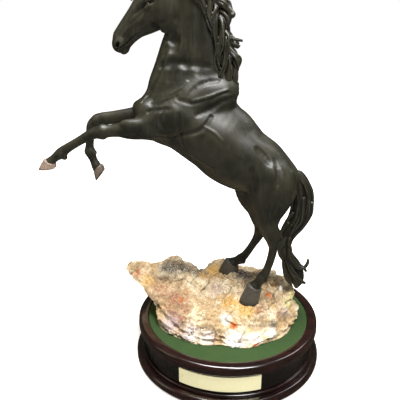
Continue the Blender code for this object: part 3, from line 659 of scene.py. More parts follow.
def shapeUnderside(clay):
    clay.lump((19, -2, 207.5), (9, 6.5, 5), -20, 4)  # sheath
    clay.lump((11, -1, 209.5), (4, 4.2, 3.8), -20, 2)
    clay.lump((-100, 0, 287), (3, 2.4, 14), 90, 3, carve=True)  # between the breast muscles
    clay.lump((74, 0, 197), (5, 3.5, 26), 0, 4, carve=True)  # between the buttocks
    for side in (-1, 1):
        clay.lump((29, side * 13, 206), (7, 5, 5), 60, 4, carve=True)  # hollow of the flank
        clay.lump((-58, side * 16, 352), (9, 6, 7), 60, 4, carve=True)  # behind the jaw


faceShape = {
    "eye": (-76.8, 11.2, 389.0), "eyeRadius": 3.6,
    "mouth": [(-117, 343.5), (-111, 345), (-105, 348.5), (-98, 354.5), (-94, 358.5)],
    "jawLine": [(-93, 357), (-84, 364), (-74, 368), (-64, 370)],
    "crest": [(-82, 383), (-90, 377.5), (-98, 371)],
    "teardrop": [(-82, 386), (-88, 381), (-95, 377)],
    "nasalBone": [(-80, 0, 400.5), (-92, 0, 386), (-104, 0, 371.5), (-114, 0, 358)],
}
faceLumps = [  # one side of the face: centre, radii, tilt, softness, and whether it is carved out
    ((-78.3, 10.2, 392.4), (7.2, 3.6, 3.4), 38, 2.0, False),  # brow
    ((-78.8, 10.6, 384.4), (6.2, 2.6, 2.4), 34, 2.0, False),
    ((-70, 9.5, 398), (5, 3.2, 4.0), 50, 2.5, True),  # temple
    ((-92, 10.6, 377.5), (11, 2.6, 4.2), 44, 3.0, True),  # side of the nose
    ((-92, 12.0, 364), (9, 3.4, 3.6), 42, 3.0, True),
    ((-111.1, 7.0, 350.1), (6.2, 4.4, 5.0), 60, 2.5, False),  # flared nostril
    ((-112.6, 11.4, 348.6), (3.6, 4.2, 1.9), 62, 0.9, True),
    ((-113.2, 8.6, 348.0), (2.6, 2.4, 1.5), 62, 0.9, True),
    ((-76.8, 13.8, 389.0), (4.3, 2.6, 3.0), 34, 0.8, True),  # socket
]


def shapeFace(clay):
    eyeX, eyeY, eyeZ = faceShape["eye"]
    clay.lump((-107.5, 0, 342.6), (4.6, 5.2, 3.0), 40, 2.5)  # chin
    clay.lump((-114.2, 0, 346.4), (4.2, 6.2, 4.0), 50, 2.5)  # upper lip
    clay.cord(faceShape["nasalBone"], 3.6, 4.0)
    for side in (-1, 1):
        for (x, y, z), radii, tilt, soft, carve in faceLumps:
            clay.lump((x, side * y, z), radii, tilt, soft, carve)
        clay.crease(faceShape["mouth"], 1.5, 1.2, 0.8, (side,))
        clay.crease(faceShape["jawLine"], 0.7, 1.8, 2.0, (side,))
        clay.crease(faceShape["teardrop"], 0.6, 1.4, 1.5, (side,))
        clay.vein(faceShape["crest"], 0.9, 1.6, 1.5, (side,))
        clay.vein([(-100, 366), (-105, 361), (-109, 355)], 0.5, 1.0, 1.2, (side,))
        clay.vein([(-88, 371), (-94, 364), (-98, 358)], 0.4, 0.8, 1.0, (side,))
        lid = [(eyeX + 4.6 * math.cos(t), eyeZ + 3.0 * math.sin(t) + 2.0 * math.cos(t))
               for t in np.radians(np.linspace(10, 170, 6))]
        clay.vein(lid, 0.8, 0.9, 0.6, (side,))
        lid = [(x, 2 * eyeZ - z + 1.3 * (x - eyeX)) for x, z in lid]
        clay.vein(lid, 0.5, 0.8, 0.6, (side,))


def shapeEar(clay, side):
    spine = [(-55, side * 7, 408, 4.2, 3.8), (-54, side * 7.6, 415, 5.0, 4.2), (-53, side * 8.2, 421, 4.6, 3.6),
             (-52.4, side * 8.7, 427, 3.3, 2.5), (-52.6, side * 8.8, 432.6, 1.3, 1.1)]
    clay.limb(spine, 2.5, 4, 4.0)
    clay.lump((-57.2, side * 10.2, 420), (8.5, 2.0, 2.3), 84, 1.0, carve=True)


# where the casting is parted: a point and the normal of the cut, the box it is made in,
# the span of heights it claims, and the pieces beyond it on the left and right
partings = [
    ((-55, 0, 417.5), (0, 0, 1), (-70, -20, 410), (-40, 20, 424), "z", ("left_ear", "right_ear")),
    ((-107, 0, 268), (-1, 0, -0.1), (-113, -42, 250), (-101, 42, 300), "low",
     ("left_foreleg", "right_foreleg")),
    ((40, 0, 181), (0, 0, -1), (-10, -42, 172), (70, 42, 190), "low", ("left_hind_leg", "right_hind_leg")),
    ((-67, 0, 362), (-0.93, 0, 0.37), (-78, -30, 345), (-36, 30, 420), "high", ("horse_head",)),
    ((-45, 0, 293), (-0.16, 0, 1), (-112, -42, 272), (24, 42, 314), "z", ("horse_neck",)),
]
claims = {"z": (0, 999), "low": (0, 300), "high": (333, 999)}  # heights a cut may claim between


def pieceAt(spot):
    for point, normal, _, _, claim, names in partings:
        low, high = claims[claim]
        if low < spot.z < high and (spot - Vector(point)).dot(Vector(normal)) > 0:
            return names[0] if spot.y < 0 else names[-1]
    return "horse_body"


def partCasting(whole):
    shape = bmesh.new()
    shape.from_mesh(whole.data)
    for point, normal, low, high, _, _ in partings:
        low, high = Vector(low) * mm, Vector(high) * mm
        faces = []
        for face in shape.faces:
            c = face.verts[0].co
            if low.x < c.x < high.x and low.y < c.y < high.y and low.z < c.z < high.z:
                faces.append(face)
        parts = set(faces)
        for face in faces:
            parts.update(face.edges)
            parts.update(face.verts)
        bmesh.ops.bisect_plane(
            shape, geom=list(parts), dist=1e-8,
            plane_co=Vector(point) * mm, plane_no=Vector(normal).normalized())
    owner = {face: pieceAt(face.calc_center_median() / mm) for face in shape.faces}
    seams = [e for e in shape.edges if len({owner[face] for face in e.link_faces}) > 1]
    bmesh.ops.split_edges(shape, edges=seams)
    rims = [e for e in shape.edges if e.is_boundary]
    bmesh.ops.holes_fill(shape, edges=rims, sides=0)
    shape.to_mesh(whole.data)
    shape.free()
    bpy.ops.object.select_all(action="DESELECT")
    whole.select_set(True)
    bpy.context.view_layer.objects.active = whole
    bpy.ops.mesh.separate(type="LOOSE")
    named = {}
    for piece in sorted(bpy.context.selected_objects, key=lambda o: -len(o.data.vertices)):
        points = np.empty(len(piece.data.vertices) * 3, np.float32)
        piece.data.vertices.foreach_get("co", points)
        name = pieceAt(Vector(points.reshape(-1, 3).mean(axis=0) / mm))
        if name in named:  # a closed pocket inside the casting
            bpy.data.objects.remove(piece)
            continue
        print("  casting", name, len(points) // 3, "points")
        piece.name = name + "_cast"
        piece.data.set_sharp_from_angle(angle=math.radians(62))
        named[name] = piece
    return named


clay = sculptHorse()
casting = clay.cast("horse_casting")
for name, piece in partCasting(casting).items():
    finished(piece, coatGlaze, "black_coat", name)
print("horse cast and parted")


def makeEyes():
    eyeX, eyeY, eyeZ = faceShape["eye"]
    for side, name in ((-1, "left_eye"), (1, "right_eye")):
        shape = bmesh.new()
        bmesh.ops.create_uvsphere(shape, u_segments=32, v_segments=20, radius=faceShape["eyeRadius"] * mm)
        for vert in shape.verts:  # a little longer than tall, the cornea standing proud
            bulge = 1.0 + 0.12 * max(0.0, side * vert.co.y / (faceShape["eyeRadius"] * mm)) ** 6
            vert.co.x *= 1.08
            vert.co *= bulge
        bmesh.ops.translate(shape, verts=shape.verts, vec=Vector((eyeX, side * (eyeY - 1.5), eyeZ)) * mm)
        finished(meshed(name, shape), eyeGlass, "black_coat")


makeEyes()


# hooves: coronet centre, toe and heel on the sole, half width, all mm
hooves = {
    "left_fore_hoof": {"coronet": (-188.2, -24, 231.0), "lean": (-0.62, 0, -0.78), "toe": (-201.5, -24, 223.0),
                       "heel": (-182.6, -24, 224.6), "wide": 7.4, "horn": "fore"},
    # the far fore hoof takes the darker painted-shade copy of the fore horn
    "right_fore_hoof": {"coronet": (-152.4, 22, 213.0), "lean": (0.34, 0, -0.94), "toe": (-156.0, 22, 196.6),
                        "heel": (-145.2, 22, 211.0), "wide": 7.4, "horn": "smoke"},
    "left_hind_hoof": {"coronet": (31.0, -22, 97.5), "lean": (-0.5, 0, -0.86), "toe": (14.2, -22, 77.6),
                       "heel": (37.2, -22, 77.4), "wide": 9.0, "horn": "hind"},
    "right_hind_hoof": {"coronet": (3.0, 20, 102.6), "lean": (-0.7, 0, -0.7), "toe": (-13.0, 20, 89.5),
                        "heel": (12.5, 20, 87.0), "wide": 9.0, "horn": "hind"},
}


hoofDome = ((0.3, 2.4), (0.62, 2.0), (0.86, 1.3))  # share of the ring's size, and how far it is moved
hoofSole = ((0.95, 0.0), (0.87, 0.15), (0.80, 1.1), (0.4, 1.4))
hoofFineness = {"sides": 56, "rings": 26}


def makeHoof(name, spec):
    toe, heel = Vector(spec["toe"]), Vector(spec["heel"])
    coronet = Vector(spec["coronet"])
    ahead = (toe - heel).normalized()
    across = Vector((0, 1, 0))
    up = ahead.cross(across).normalized()
    if up.dot(coronet - toe) < 0:
        up = -up
    soleMiddle = (toe + heel) * 0.5
    soleHalf = (toe - heel).length * 0.5
    topHalf = soleHalf * 0.70
    lean = Vector(spec["lean"]).normalized()
    topAhead = (ahead - lean * ahead.dot(lean) * 0.8).normalized()
    sides, rings = hoofFineness["sides"], hoofFineness["rings"]
    shape = bmesh.new()
    layer = shape.verts.layers.float.new("down")
    rows = []
    for r in range(rings + 1):
        t = r / rings
        middle = coronet.lerp(soleMiddle, t)
        front = topAhead.lerp(ahead, t).normalized()
        half = topHalf + (soleHalf - topHalf) * t ** 0.9
        wide = spec["wide"] * (0.80 + 0.20 * t)
        swell = 1.0 + 0.055 * math.exp(-((t - 0.06) / 0.06) ** 2)  # coronet band
        row = []
        for k in range(sides):
            turn = 2 * math.pi * k / sides
            c, s = math.cos(turn), math.sin(turn)
            back = max(0.0, -c)
            notch = 1.0 - 0.22 * t * math.exp(-(s / 0.34) ** 2) * back ** 2  # between the heel bulbs
            ring = 1.0 + 0.006 * math.sin(t * 34.0) * (1 - back)
            blunt = 1.0 - 0.05 * back
            p = middle + front * (half * c * swell * notch * ring) + across * (wide * s * swell * ring * blunt)
            vert = shape.verts.new(p * mm)
            vert[layer] = 1.0 - t
            row.append(vert)
        rows.append(row)

    def inner(ring, centre, shrink, shift, value):  # the ring drawn in about a centre and moved
        made = [shape.verts.new((centre + (v.co / mm - centre) * shrink + shift) * mm) for v in ring]
        for vert in made:
            vert[layer] = value
        return made

    # under the skin of the pastern, then wall, white line and sole
    dome = [inner(rows[0], coronet, shrink, -lean * lift, 1.0) for shrink, lift in hoofDome]
    sole = [inner(rows[-1], soleMiddle, shrink, up * rise, 0.0) for shrink, rise in hoofSole]
    skinned(shape, dome + rows + sole)
    horn = {"fore": foreHorn, "smoke": shadedForeHorn, "hind": hindHorn}[spec["horn"]]
    finished(meshed(name, shape, 48), horn, "black_coat")


for name, spec in hooves.items():
    makeHoof(name, spec)
print("hooves made")


# hair: each lock is a twisted bundle of tapering strands
def lock(clay, points, width, strands, wave=0.8, twist=1.4, seed=0, thick=1.0):
    rng = np.random.default_rng(seed)
    path = easedPath(points, 7)
    count = len(path)
    t = np.linspace(0, 1, count)
    ahead = np.gradient(path, axis=0)
    ahead /= np.maximum(np.linalg.norm(ahead, axis=1), 1e-9)[:, None]
    side = np.cross(ahead, (0.0, 1.0, 0.0))
    side /= np.maximum(np.linalg.norm(side, axis=1), 1e-9)[:, None]
    out = np.cross(side, ahead)
    profile = np.sin(np.clip(0.16 + t * 1.05, 0, 1) ** 0.8 * math.pi * 0.5) * (1 - t) ** 0.62 + 0.05
    for s in range(strands):
        turn = 2 * math.pi * s / strands + rng.uniform(-0.4, 0.4) + twist * t * math.pi
        away = width * profile * rng.uniform(0.36, 0.70)
        ripple = wave * np.sin(t * rng.uniform(5.5, 8.0) + rng.uniform(0, 6.3)) * t
        line = path + side * (away * np.cos(turn) + ripple)[:, None]
        line = line + out * (away * 0.62 * np.sin(turn))[:, None]
        radii = thick * width * rng.uniform(0.17, 0.30) * (1 - t) ** 0.55 + 0.26
        clay.cord(line, radii, 0.2)


# locks of hair from root to tip, each with its width; the mane's are those of the left side
maneLocks = [
    ([(-50, -3.72, 408), (-43, -12.1, 402), (-41, -14, 391), (-45, -13.5, 380)], 4.6),
    ([(-44, -3.72, 406), (-34, -11.2, 402), (-30, -14, 392), (-33, -14, 381), (-36.9417, -13, 374)], 4.8),
    ([(-38, -3.72, 403), (-28, -11.2, 399), (-22, -12.1, 391), (-18, -10.2, 386), (-13, -8.37, 387)], 4.6),
    ([(-33, -2.79, 399), (-20, -7.44, 396), (-12, -7.44, 391), (-8, -5.58, 385), (-10, -4.65, 381)], 4.4),
    ([(-30, -3.72, 395), (-22, -11.2, 389), (-22, -14, 376), (-26.3583, -14.4, 364), (-28.95, -14, 357)], 4.8),
    ([(-26, -2.79, 391), (-16, -8.37, 386), (-8, -8.37, 383), (-4, -6.51, 379), (-4.88333, -5.58, 373),
        (-9.825, -5.58, 372)], 4.4),
    ([(-23, -3.72, 385), (-16, -11.2, 378), (-16.3583, -14.4, 364), (-20.5417, -14.4, 350),
        (-18.8417, -13.5, 338)], 4.8),
    ([(-20, -2.79, 379), (-9.94167, -8.37, 374), (-5.53333, -8.37, 367), (-8.125, -7.44, 360),
        (-12.8917, -7.44, 356)], 4.2),
    ([(-17.9417, -3.72, 374), (-10.475, -11.2, 366), (-10.6583, -14.4, 352), (-15.725, -14.4, 336),
        (-16.9083, -14, 322)], 4.8),
    ([(-15.7083, -2.79, 370), (-7.24167, -7.44, 362), (-2.775, -7.44, 354), (2.4875, -6.51, 349.5),
        (6.60417, -5.58, 347.5)], 4.0),
    ([(-13.2417, -3.72, 362), (-4.775, -11.2, 354), (-4.19167, -13, 344), (-9.66667, -13, 335),
        (-10.375, -12.1, 330)], 4.6),
    ([(-11.8917, -3.72, 356), (-6.25, -12.1, 345), (-7.43333, -14.9, 331), (-12.675, -14.9, 318),
        (-11.5, -14, 311)], 4.6),
    ([(-10.425, -2.79, 348), (-1.01667, -8.37, 341), (3.45, -8.37, 333), (3.85833, -7.44, 326),
        (0.15, -6.51, 321), (-3.90833, -6.51, 322)], 4.2),
    ([(-9.075, -3.72, 342), (-2.49167, -11.2, 332), (-2.79167, -14, 320), (-6.5, -14.4, 309), (-4.5, -14, 303)],
        4.4),
    ([(-7.60833, -2.79, 334), (1.85833, -7.44, 326), (3.44167, -8.37, 316), (-0.5, -8.37, 308),
        (-0.5, -8.37, 302)], 4.2),
    ([(-6.08333, -2.79, 325), (1.38333, -7.44, 317), (0.5, -10.2, 307), (-3.5, -11.2, 299), (-1.5, -11.2, 295)],
        3.8),
    ([(-4.55833, -1.86, 316), (2.5, -4.65, 309), (3.5, -5.58, 301), (0.5, -5.58, 296)], 3.4),
]
foreLocks = [
    ([(-46, 0, 414), (-56, -1, 418.5), (-68, -2, 418), (-80, -3, 409), (-88, -5, 398), (-89, -7, 391)], 4.2),
    ([(-46, 1, 414), (-57, 2, 419), (-70, 2, 418), (-84, 1, 409), (-95, 0, 397.5), (-99, -1, 389)], 4.2),
    ([(-46, -1, 413), (-56, -5, 417), (-66, -7, 413), (-76, -9, 405), (-81, -10.5, 397)], 3.4),
    ([(-46, 1, 413), (-56, 6, 417), (-67, 8, 413), (-78, 10, 404), (-84, 11, 396)], 3.4),
]
tailSpine = [
    (58, 0, 228), (69, 0, 219.5), (77, 0, 205), (78, 1, 188), (76, 1.5, 173), (68.5, 2, 160), (63, 2, 148),
    (62.5, 2, 138), (64.5, 2, 127), (70, 2, 116), (75, 1.5, 106), (78, 1, 96), (77.5, 1, 87),
]
tailHair = {"locks": 34, "turns": 3.0, "thick": 1.25, "curlThick": 1.3}
tailWidth = [3.6, 5.6, 9.0, 12.0, 12.0, 10.5, 8.2, 7.2, 7.6, 11.5, 12.0, 9.0, 3.0]
tailCurls = [
    ([(67, -2, 138), (69, -5, 126), (76, -6, 117), (83, -5, 115), (87, -4, 120), (87.5, -3.5, 125.5)], 3.8),
    ([(66, 2, 134), (70, 6, 121), (78, 7, 113), (85, 6, 109), (88, 5, 105)], 3.8),
    ([(65, -3, 126), (70, -8, 113), (77, -9, 104), (84, -8, 98), (87, -6, 96.5)], 4.0),
    ([(64, 0, 128), (62, -4, 118), (64, -7, 108), (69, -7, 98), (74, -5, 90)], 4.0),
    ([(66, 3, 124), (72, 8, 110), (79, 9, 100), (83, 7, 92), (81, 5, 87)], 4.0),
    ([(63, -2, 150), (58, -5, 142), (56, -7, 133), (60, -8, 124)], 3.2),
]


# heights with the mane's front edge at each, then the ridge its locks spring from
maneFront = ((320, 334, 350, 366, 377, 389, 400), (-12.5, -15.5, -15.5, -20, -26, -28, -46))
maneRidge = [
    (-48, 0, 408, 4, 5), (-38, 0, 400, 6, 7), (-26, 0, 387, 6.5, 8), (-17, 0, 371, 7, 8.5),
    (-11, 0, 352, 7, 8.5), (-7, 0, 335, 7, 8.5), (-4, 0, 318, 6.5, 8), (-3, 0, 303, 4.5, 5.5),
]
maneSwing = (2.4, 1.0, 3.0)  # how far the hidden layers stray, mm


def sculptMane():
    clay = Clay("mane", (-62, -24, 286), (18, 24, 426))
    clay.limb(maneRidge, 1.0, 5, 3.0)
    rng = np.random.default_rng(17)
    for number, (spine, width) in enumerate(maneLocks):
        for layer, side in enumerate((1, 1, -1, -1)):  # two layers on each side of the neck
            points = np.array(spine, float) * (1, side, 1)
            fade = np.linspace(0.3, 1.0, len(points))[:, None]
            points += rng.normal(0, 1.0, (len(points), 3)) * maneSwing * fade * (layer > 0)
            points[:, 2] += 4.0 * (layer % 2)
            front = np.interp(points[:, 2], *maneFront)
            outer = np.abs(points[1:, 1]).mean() < 10.5
            points[:, 0] = np.maximum(points[:, 0], front + 2.0 * (layer % 2))
            lock(clay, points, width * (0.8 if layer % 2 else 0.95), 5 if outer else 6, wave=1.3,
                 seed=4 * number + layer, thick=1.5 if outer else 0.9)
    return clay


def sculptForelock():
    clay = Clay("forelock", (-108, -16, 380), (-40, 16, 428))
    for number, (points, width) in enumerate(foreLocks):
        lock(clay, points, width, 5, wave=0.6, twist=0.8, seed=200 + number)
    return clay


def sculptTail():
    clay = Clay("tail", (48, -22, 76), (98, 24, 224))
    rng = np.random.default_rng(31)
    spine = easedPath(tailSpine, 6)
    widths = easedPath(np.array(tailWidth)[:, None], 6)[:, 0]
    clay.limb([(*p, w * 0.80, w * 0.62) for p, w in zip(tailSpine, tailWidth)], 1.0, 4, 3.0)
    count = len(spine)
    for number in range(tailHair["locks"]):
        turn = 2 * math.pi * number / tailHair["locks"] * tailHair["turns"] + rng.uniform(-0.3, 0.3)
        first = int(rng.uniform(0.0, 0.62) * count) if number > 9 else 0
        last = min(count, first + int(rng.uniform(0.30, 0.44) * count))
        if last - first < 10:
            continue
        rows = np.arange(first, last, 5)
        ring = rng.uniform(0.66, 0.84)
        drift = rng.uniform(-0.8, 0.8)
        points = []
        for i in rows:
            ahead = unit(spine[min(i + 1, count - 1)] - spine[max(i - 1, 0)])
            deep = np.cross(ahead, (0, 1, 0))
            a = turn + drift * (i - first) / count * 3
            w = widths[i] * ring
            points.append(spine[i] + deep * (w * math.cos(a)) + np.array((0, 1, 0)) * (0.8 * w * math.sin(a)))
        lock(clay, points, 4.6, 5, wave=1.0, twist=0.8, seed=300 + number, thick=tailHair["thick"])
    for number, (points, width) in enumerate(tailCurls):
        lock(clay, points, width * 1.15, 6, wave=0.7, twist=1.0, seed=400 + number, thick=tailHair["curlThick"])
    return clay


for name, sculpt in (("mane", sculptMane), ("forelock", sculptForelock), ("tail", sculptTail)):
    hair = sculpt().cast(name + "_locks", rounds=1)
    print("  hair", name, len(hair.data.vertices), "points")
    finished(hair, hairGlaze, "black_hair", name)
print("mane, forelock and tail made")


# rockwork: the same outline as the frame's, broken up into plates, ledges and grit
rockShape = {
    "radius": 75.0, "top": 90.0, "bottom": 48.6, "ledge": 46.0, "browDrop": 6.0,
    "hollows": [(19.0, -22.0, 15.0, 2.0), (-12.0, 20.0, 15.0, 2.0)],
    "knolls": [(-22.0, 22.0, 10.0, -7.0), (-62.0, 26.0, 17.0, -6.0), (-39.0, 30.0, 14.0, 8.0),
               (-36.0, 54.0, 17.0, 13.0), (-100.0, 2.0, 13.0, -4.0), (-96.0, 38.0, 18.0, 7.0),
               (-16.0, 50.0, 13.0, -4.0)],
    "sides": 420, "rows": 190,
}


def rockFoot(turn):
    bumps = 1.6 * math.sin(5 * turn + 0.5) + 1.4 * math.sin(9 * turn)
    return rockShape["radius"] + 7.5 * math.cos(2 * turn) - 3.0 * math.cos(turn) + bumps


def rockBrow(turn):
    ledge = max(0.0, math.cos(turn - math.radians(172.0))) ** 14
    return rockFoot(turn) * 0.92 + rockShape["ledge"] * ledge + 2.0 * math.sin(4 * turn)


def rockCrown(x, y):
    slope = 0.30 if y < 0.0 else 0.13
    height = rockShape["top"] + slope * y - 0.06 * x - 0.0035 * y * y
    height += 1.6 * math.sin(0.11 * x + 0.06 * y) + 1.2 * math.sin(0.13 * y - 0.05 * x)
    for hx, hy, reach, depth in rockShape["hollows"] + rockShape["knolls"]:
        height -= depth * math.exp(-((x - hx) ** 2 + (y - hy) ** 2) / reach ** 2)
    return height


def rockPoint(turn, blend):  # blend 0 at the baize, 1 at the brow, 2 in the middle
    foot, brow = rockFoot(turn), rockBrow(turn)
    c, s = math.cos(turn), math.sin(turn)
    if blend <= 1.0:
        radius = foot + (brow - foot) * blend ** 1.3
        radius += 8.0 * math.sin(3.0 * turn + 9.0 * blend) * blend * (1.0 - blend)
        top = rockCrown(brow * c, brow * s) - rockShape["browDrop"]
        height = rockShape["bottom"] + (top - rockShape["bottom"]) * blend ** 0.85
    else:
        radius = brow * (2.0 - blend)
        height = rockCrown(radius * c, radius * s) - rockShape["browDrop"] * (2.0 - blend) ** 9
    return Vector((radius * c, radius * s, height))


def rockRelief(p):  # height of the broken surface at a point, mm, and how deep in a crack it lies
    warp = Vector((noise.noise(p * 0.035), noise.noise(p * 0.035 + Vector((7, 3, 1))), noise.noise(p * 0.04)))
    q = p + warp * 9.0
    flat = Vector((q.x, q.y, q.z * 1.7))
    near = noise.voronoi(flat / 31.0, distance_metric="DISTANCE")[0]
    broken = max(0.0, min(1.0, 0.5 + 2.2 * noise.noise(p * 0.04 + Vector((3, 9, 5)))))
    crack = broken * max(0.0, 1.0 - (near[1] - near[0]) / 0.055)
    small = noise.voronoi(q / 9.0, distance_metric="DISTANCE")[0]
    chip = broken * max(0.0, 1.0 - (small[1] - small[0]) / 0.09)
    billow = 1.0 - abs(noise.noise(p * 0.055 + warp)) * 2.0
    ridged = 1.0 - abs(noise.noise(p * 0.13 + warp)) * 2.0
    layers = noise.noise(Vector((p.x * 0.028, p.y * 0.028, p.z * 0.30)) + warp * 0.9)
    grit = noise.fractal(p * 0.34, 0.8, 2.1, 5)
    height = -2.6 * near[0] + 2.6 * billow + 1.3 * ridged + 1.9 * layers
    height = height - 1.7 * crack - 0.6 * chip + 0.95 * grit
    return height * 1.25 - 1.8, min(1.0, crack * 0.7 + chip * 0.3 + max(0.0, -grit - 0.15) * 0.6)


# paint laid over the rock: centre, reach, strength
rockPatches = {
    "slate": [
        ((-70, 12, 93), 16, 1.0), ((-52, 15, 94), 14, 1.0), ((-34, 8, 93), 14, 0.9), ((-5, 30, 91), 14, 0.9),
        ((18, 15, 91), 15, 1.0), ((38, 20, 89), 15, 0.9), ((24, 0, 88), 11, 0.7), ((-40, 40, 84), 20, 0.6)],
    "ochre": [
        ((-20, 30, 95), 12, 1.0), ((-18, 16, 96), 11, 1.0), ((6, -27, 78), 12, 1.0), ((22, -35, 75), 11, 1.0),
        ((-4, -20, 81), 8, 0.8), ((-92, -12, 90), 10, 0.8), ((-28, 2, 92), 9, 0.6), ((40, 60, 70), 14, 0.8)],
    "white": [
        ((2, -45, 68), 7, 1.0), ((13, -61, 52), 13, 1.0), ((34, -58, 54), 9, 1.0), ((-20, -60, 52), 10, 0.6),
        ((62, -1, 87), 5, 0.9), ((52, -48, 58), 9, 0.7), ((-36, -58, 53), 8, 0.5), ((-30, 62, 62), 12, 0.8)],
    "rust": [
        ((47, -13, 84), 5.2, 1.0), ((11, -50, 64), 5.0, 1.0), ((36, -62, 52), 5.0, 1.0),
        ((-49, -31, 80), 4.2, 0.9), ((-108, -5, 96), 7, 0.7), ((60, -33, 64), 3, 0.6), ((56, 44, 70), 4, 0.9),
        ((-20, 66, 60), 4, 0.9)],
    "brown_paint_and_shade": [
        ((-57, -30, 80), 20, 1.0), ((-75, -22, 86), 16, 0.8), ((-50, -42, 68), 17, 1.0),
        ((-102, -4, 94), 11, 0.8), ((40, -33, 74), 9, 0.8), ((58, -30, 68), 9, 0.6), ((19, -20, 82), 14, 0.5),
        # the last patch here, round the near hind hoof, is a painted contact shadow
        ((0, 60, 74), 18, 0.8), ((-80, 30, 80), 16, 0.7)],
    "lilac": [
        ((-60, -49, 58), 14, 0.9), ((-36, -58, 54), 13, 0.9), ((-14, -60, 54), 9, 0.7), ((66, -22, 66), 8, 0.6),
        ((-10, -12, 84), 12, 0.5), ((60, 30, 66), 14, 0.7)],
    "lime": [((75, -3, 77), 7, 1.0), ((68, -14, 74), 6, 0.8)],
    "olive": [((30, -10, 86), 9, 0.5), ((30, 60, 76), 18, 0.7), ((-60, 45, 66), 20, 0.7)],
    "shade": [
        ((33, -48, 64), 5.5, 0.9), ((43, -46, 64), 6, 1.0), ((53, -41, 64), 5.5, 0.8),
        ((-45, -50, 60), 6, 0.6)],
}
# ledges and recesses worked into it: centre, reach, height
rockPushes = [
    ((34, -50, 63), 7, -6.5), ((46, -46, 63), 7, -7.0), ((42, -42, 71), 9, 4.0), ((-30, -50, 66), 11, -4.0),
    ((-62, -38, 64), 9, -4.5), ((-40, -46, 74), 9, 3.0), ((18, -38, 73), 8, 2.5), ((-16, -48, 62), 9, 2.5),
    ((2, -45, 70), 6, 2.5), ((-48, -33, 79), 7, 2.0), ((10, -60, 55), 10, 2.0), ((-86, -12, 80), 9, -2.0),
    ((64, -26, 62), 7, -2.5), ((-10, -38, 72), 8, -2.0),
]


def makeRock():
    sides, rows = rockShape["sides"], rockShape["rows"]
    blends = [2.0 * (r / rows) ** 0.92 * 0.985 for r in range(rows + 1)]
    base = [[rockPoint(2 * math.pi * k / sides, b) for k in range(sides)] for b in blends]
    shape = bmesh.new()
    crackShade = shape.verts.layers.float.new("crevice_shade")
    ridges = shape.verts.layers.float.new("ridge")
    paints = {name: shape.verts.layers.float.new(name) for name in rockPatches}
    rings = []
    for r, row in enumerate(base):
        ring = []
        for k, p in enumerate(row):
            after, before = row[(k + 1) % sides], row[k - 1]
            above, below = base[min(r + 1, rows)][k], base[max(r - 1, 0)][k]
            out = (after - before).cross(above - below).normalized()
            height, crack = rockRelief(p)
            hold = min(1.0, r / 6.0)  # the foot stays seated on the baize
            for hx, hy, reach, _ in rockShape["hollows"]:
                near = math.exp(-(((p.x - hx) ** 2 + (p.y - hy) ** 2) / (reach * 0.62) ** 2) ** 2)
                hold *= 1.0 - 0.75 * near * (1.0 if p.z > 74 else 0.0)
            for centre, reach, push in rockPushes:
                height += push * math.exp(-((p - Vector(centre)).length / reach) ** 2)
            q = p + out * height * hold
            q.z = max(q.z, rockShape["bottom"])
            vert = shape.verts.new(q * mm)
            # painted shade laid on the cracks and chips
            vert[crackShade] = crack
            vert[ridges] = max(0.0, min(1.0, height * 0.35))
            for name, spots in rockPatches.items():
                value = 0.0
                for centre, reach, strength in spots:
                    far = (q - Vector(centre)).length / reach
                    far += 0.25 * noise.noise(q * 0.25)
                    value = max(value, strength * max(0.0, min(1.0, 1.6 - 1.4 * far)))
                vert[paints[name]] = value
            ring.append(vert)
        rings.append(ring)
    skinned(shape, rings)
    finished(meshed("rockwork_painted", shape, 75), rockPaint, "painted_rock", "rockwork")


makeRock()
print("rockwork made")


# plinth: turned pieces with finer mouldings
plinthShape = {
    "top": 50.0, "rimRadius": 103.5, "rimDepth": 12.0, "rimInside": 92.5, "drumRadius": 97.0,
    "footRadius": 107.0, "footHeight": 14.0, "footBore": 82.0, "seam": 0.3, "woodBottom": 1.8,
}


def bow(cx, cz, radius, start, end, count=10):
    turns = np.radians(np.linspace(start, end, count))
    return [(cx + radius * math.cos(t), cz + radius * math.sin(t)) for t in turns]


def turnedPiece(name, outline, steps=180):
    shape = bmesh.new()
    rings = []
    for k in range(steps):
        t = 2 * math.pi * k / steps
        c, s = math.cos(t), math.sin(t)
        rings.append([shape.verts.new((r * c * mm, r * s * mm, z * mm)) for r, z in outline])
    skinned(shape, rings + rings[:1], ends=False)
    return meshed(name, shape, 34)


def makePlinth():
    s = plinthShape
    top, low = s["top"], s["top"] - s["rimDepth"]
    bore = s["rimInside"]
    outline = [(bore, top - 1.4), (bore + 0.25, top - 0.5), (bore + 1.1, top - 0.05), (bore + 3.4, top)]
    outline += bow(s["rimRadius"] - 3.6, top - 3.4, 3.4, 90, 18, 12)
    outline += bow(s["rimRadius"] - 4.6, low + 4.6, 4.6, 14, -78, 16)
    outline += [(s["drumRadius"] + 0.9, low + 0.1), (s["drumRadius"] + 0.4, low), (bore, low)]
    rim = turnedPiece("plinth_rim_turned", outline)
    finished(rim, rimWood, "mahogany", "plinth_rim")

    top, low = s["footHeight"] - s["seam"], s["woodBottom"]
    outline = [(s["footBore"], top), (s["drumRadius"] + 0.6, top)]
    outline += bow(s["drumRadius"] + 1.2, top - 1.9, 1.9, 88, -62, 12)
    outline += bow(s["footRadius"] - 4.6, top - 8.2, 4.6, 72, 2, 12)
    outline += [(s["footRadius"], low + 1.6)]
    outline += bow(s["footRadius"] - 1.3, low + 1.3, 1.3, 0, -90, 6)
    outline += [(s["footBore"], low)]
    foot = turnedPiece("plinth_foot_turned", outline)
    finished(foot, rimWood, "mahogany", "plinth_foot")


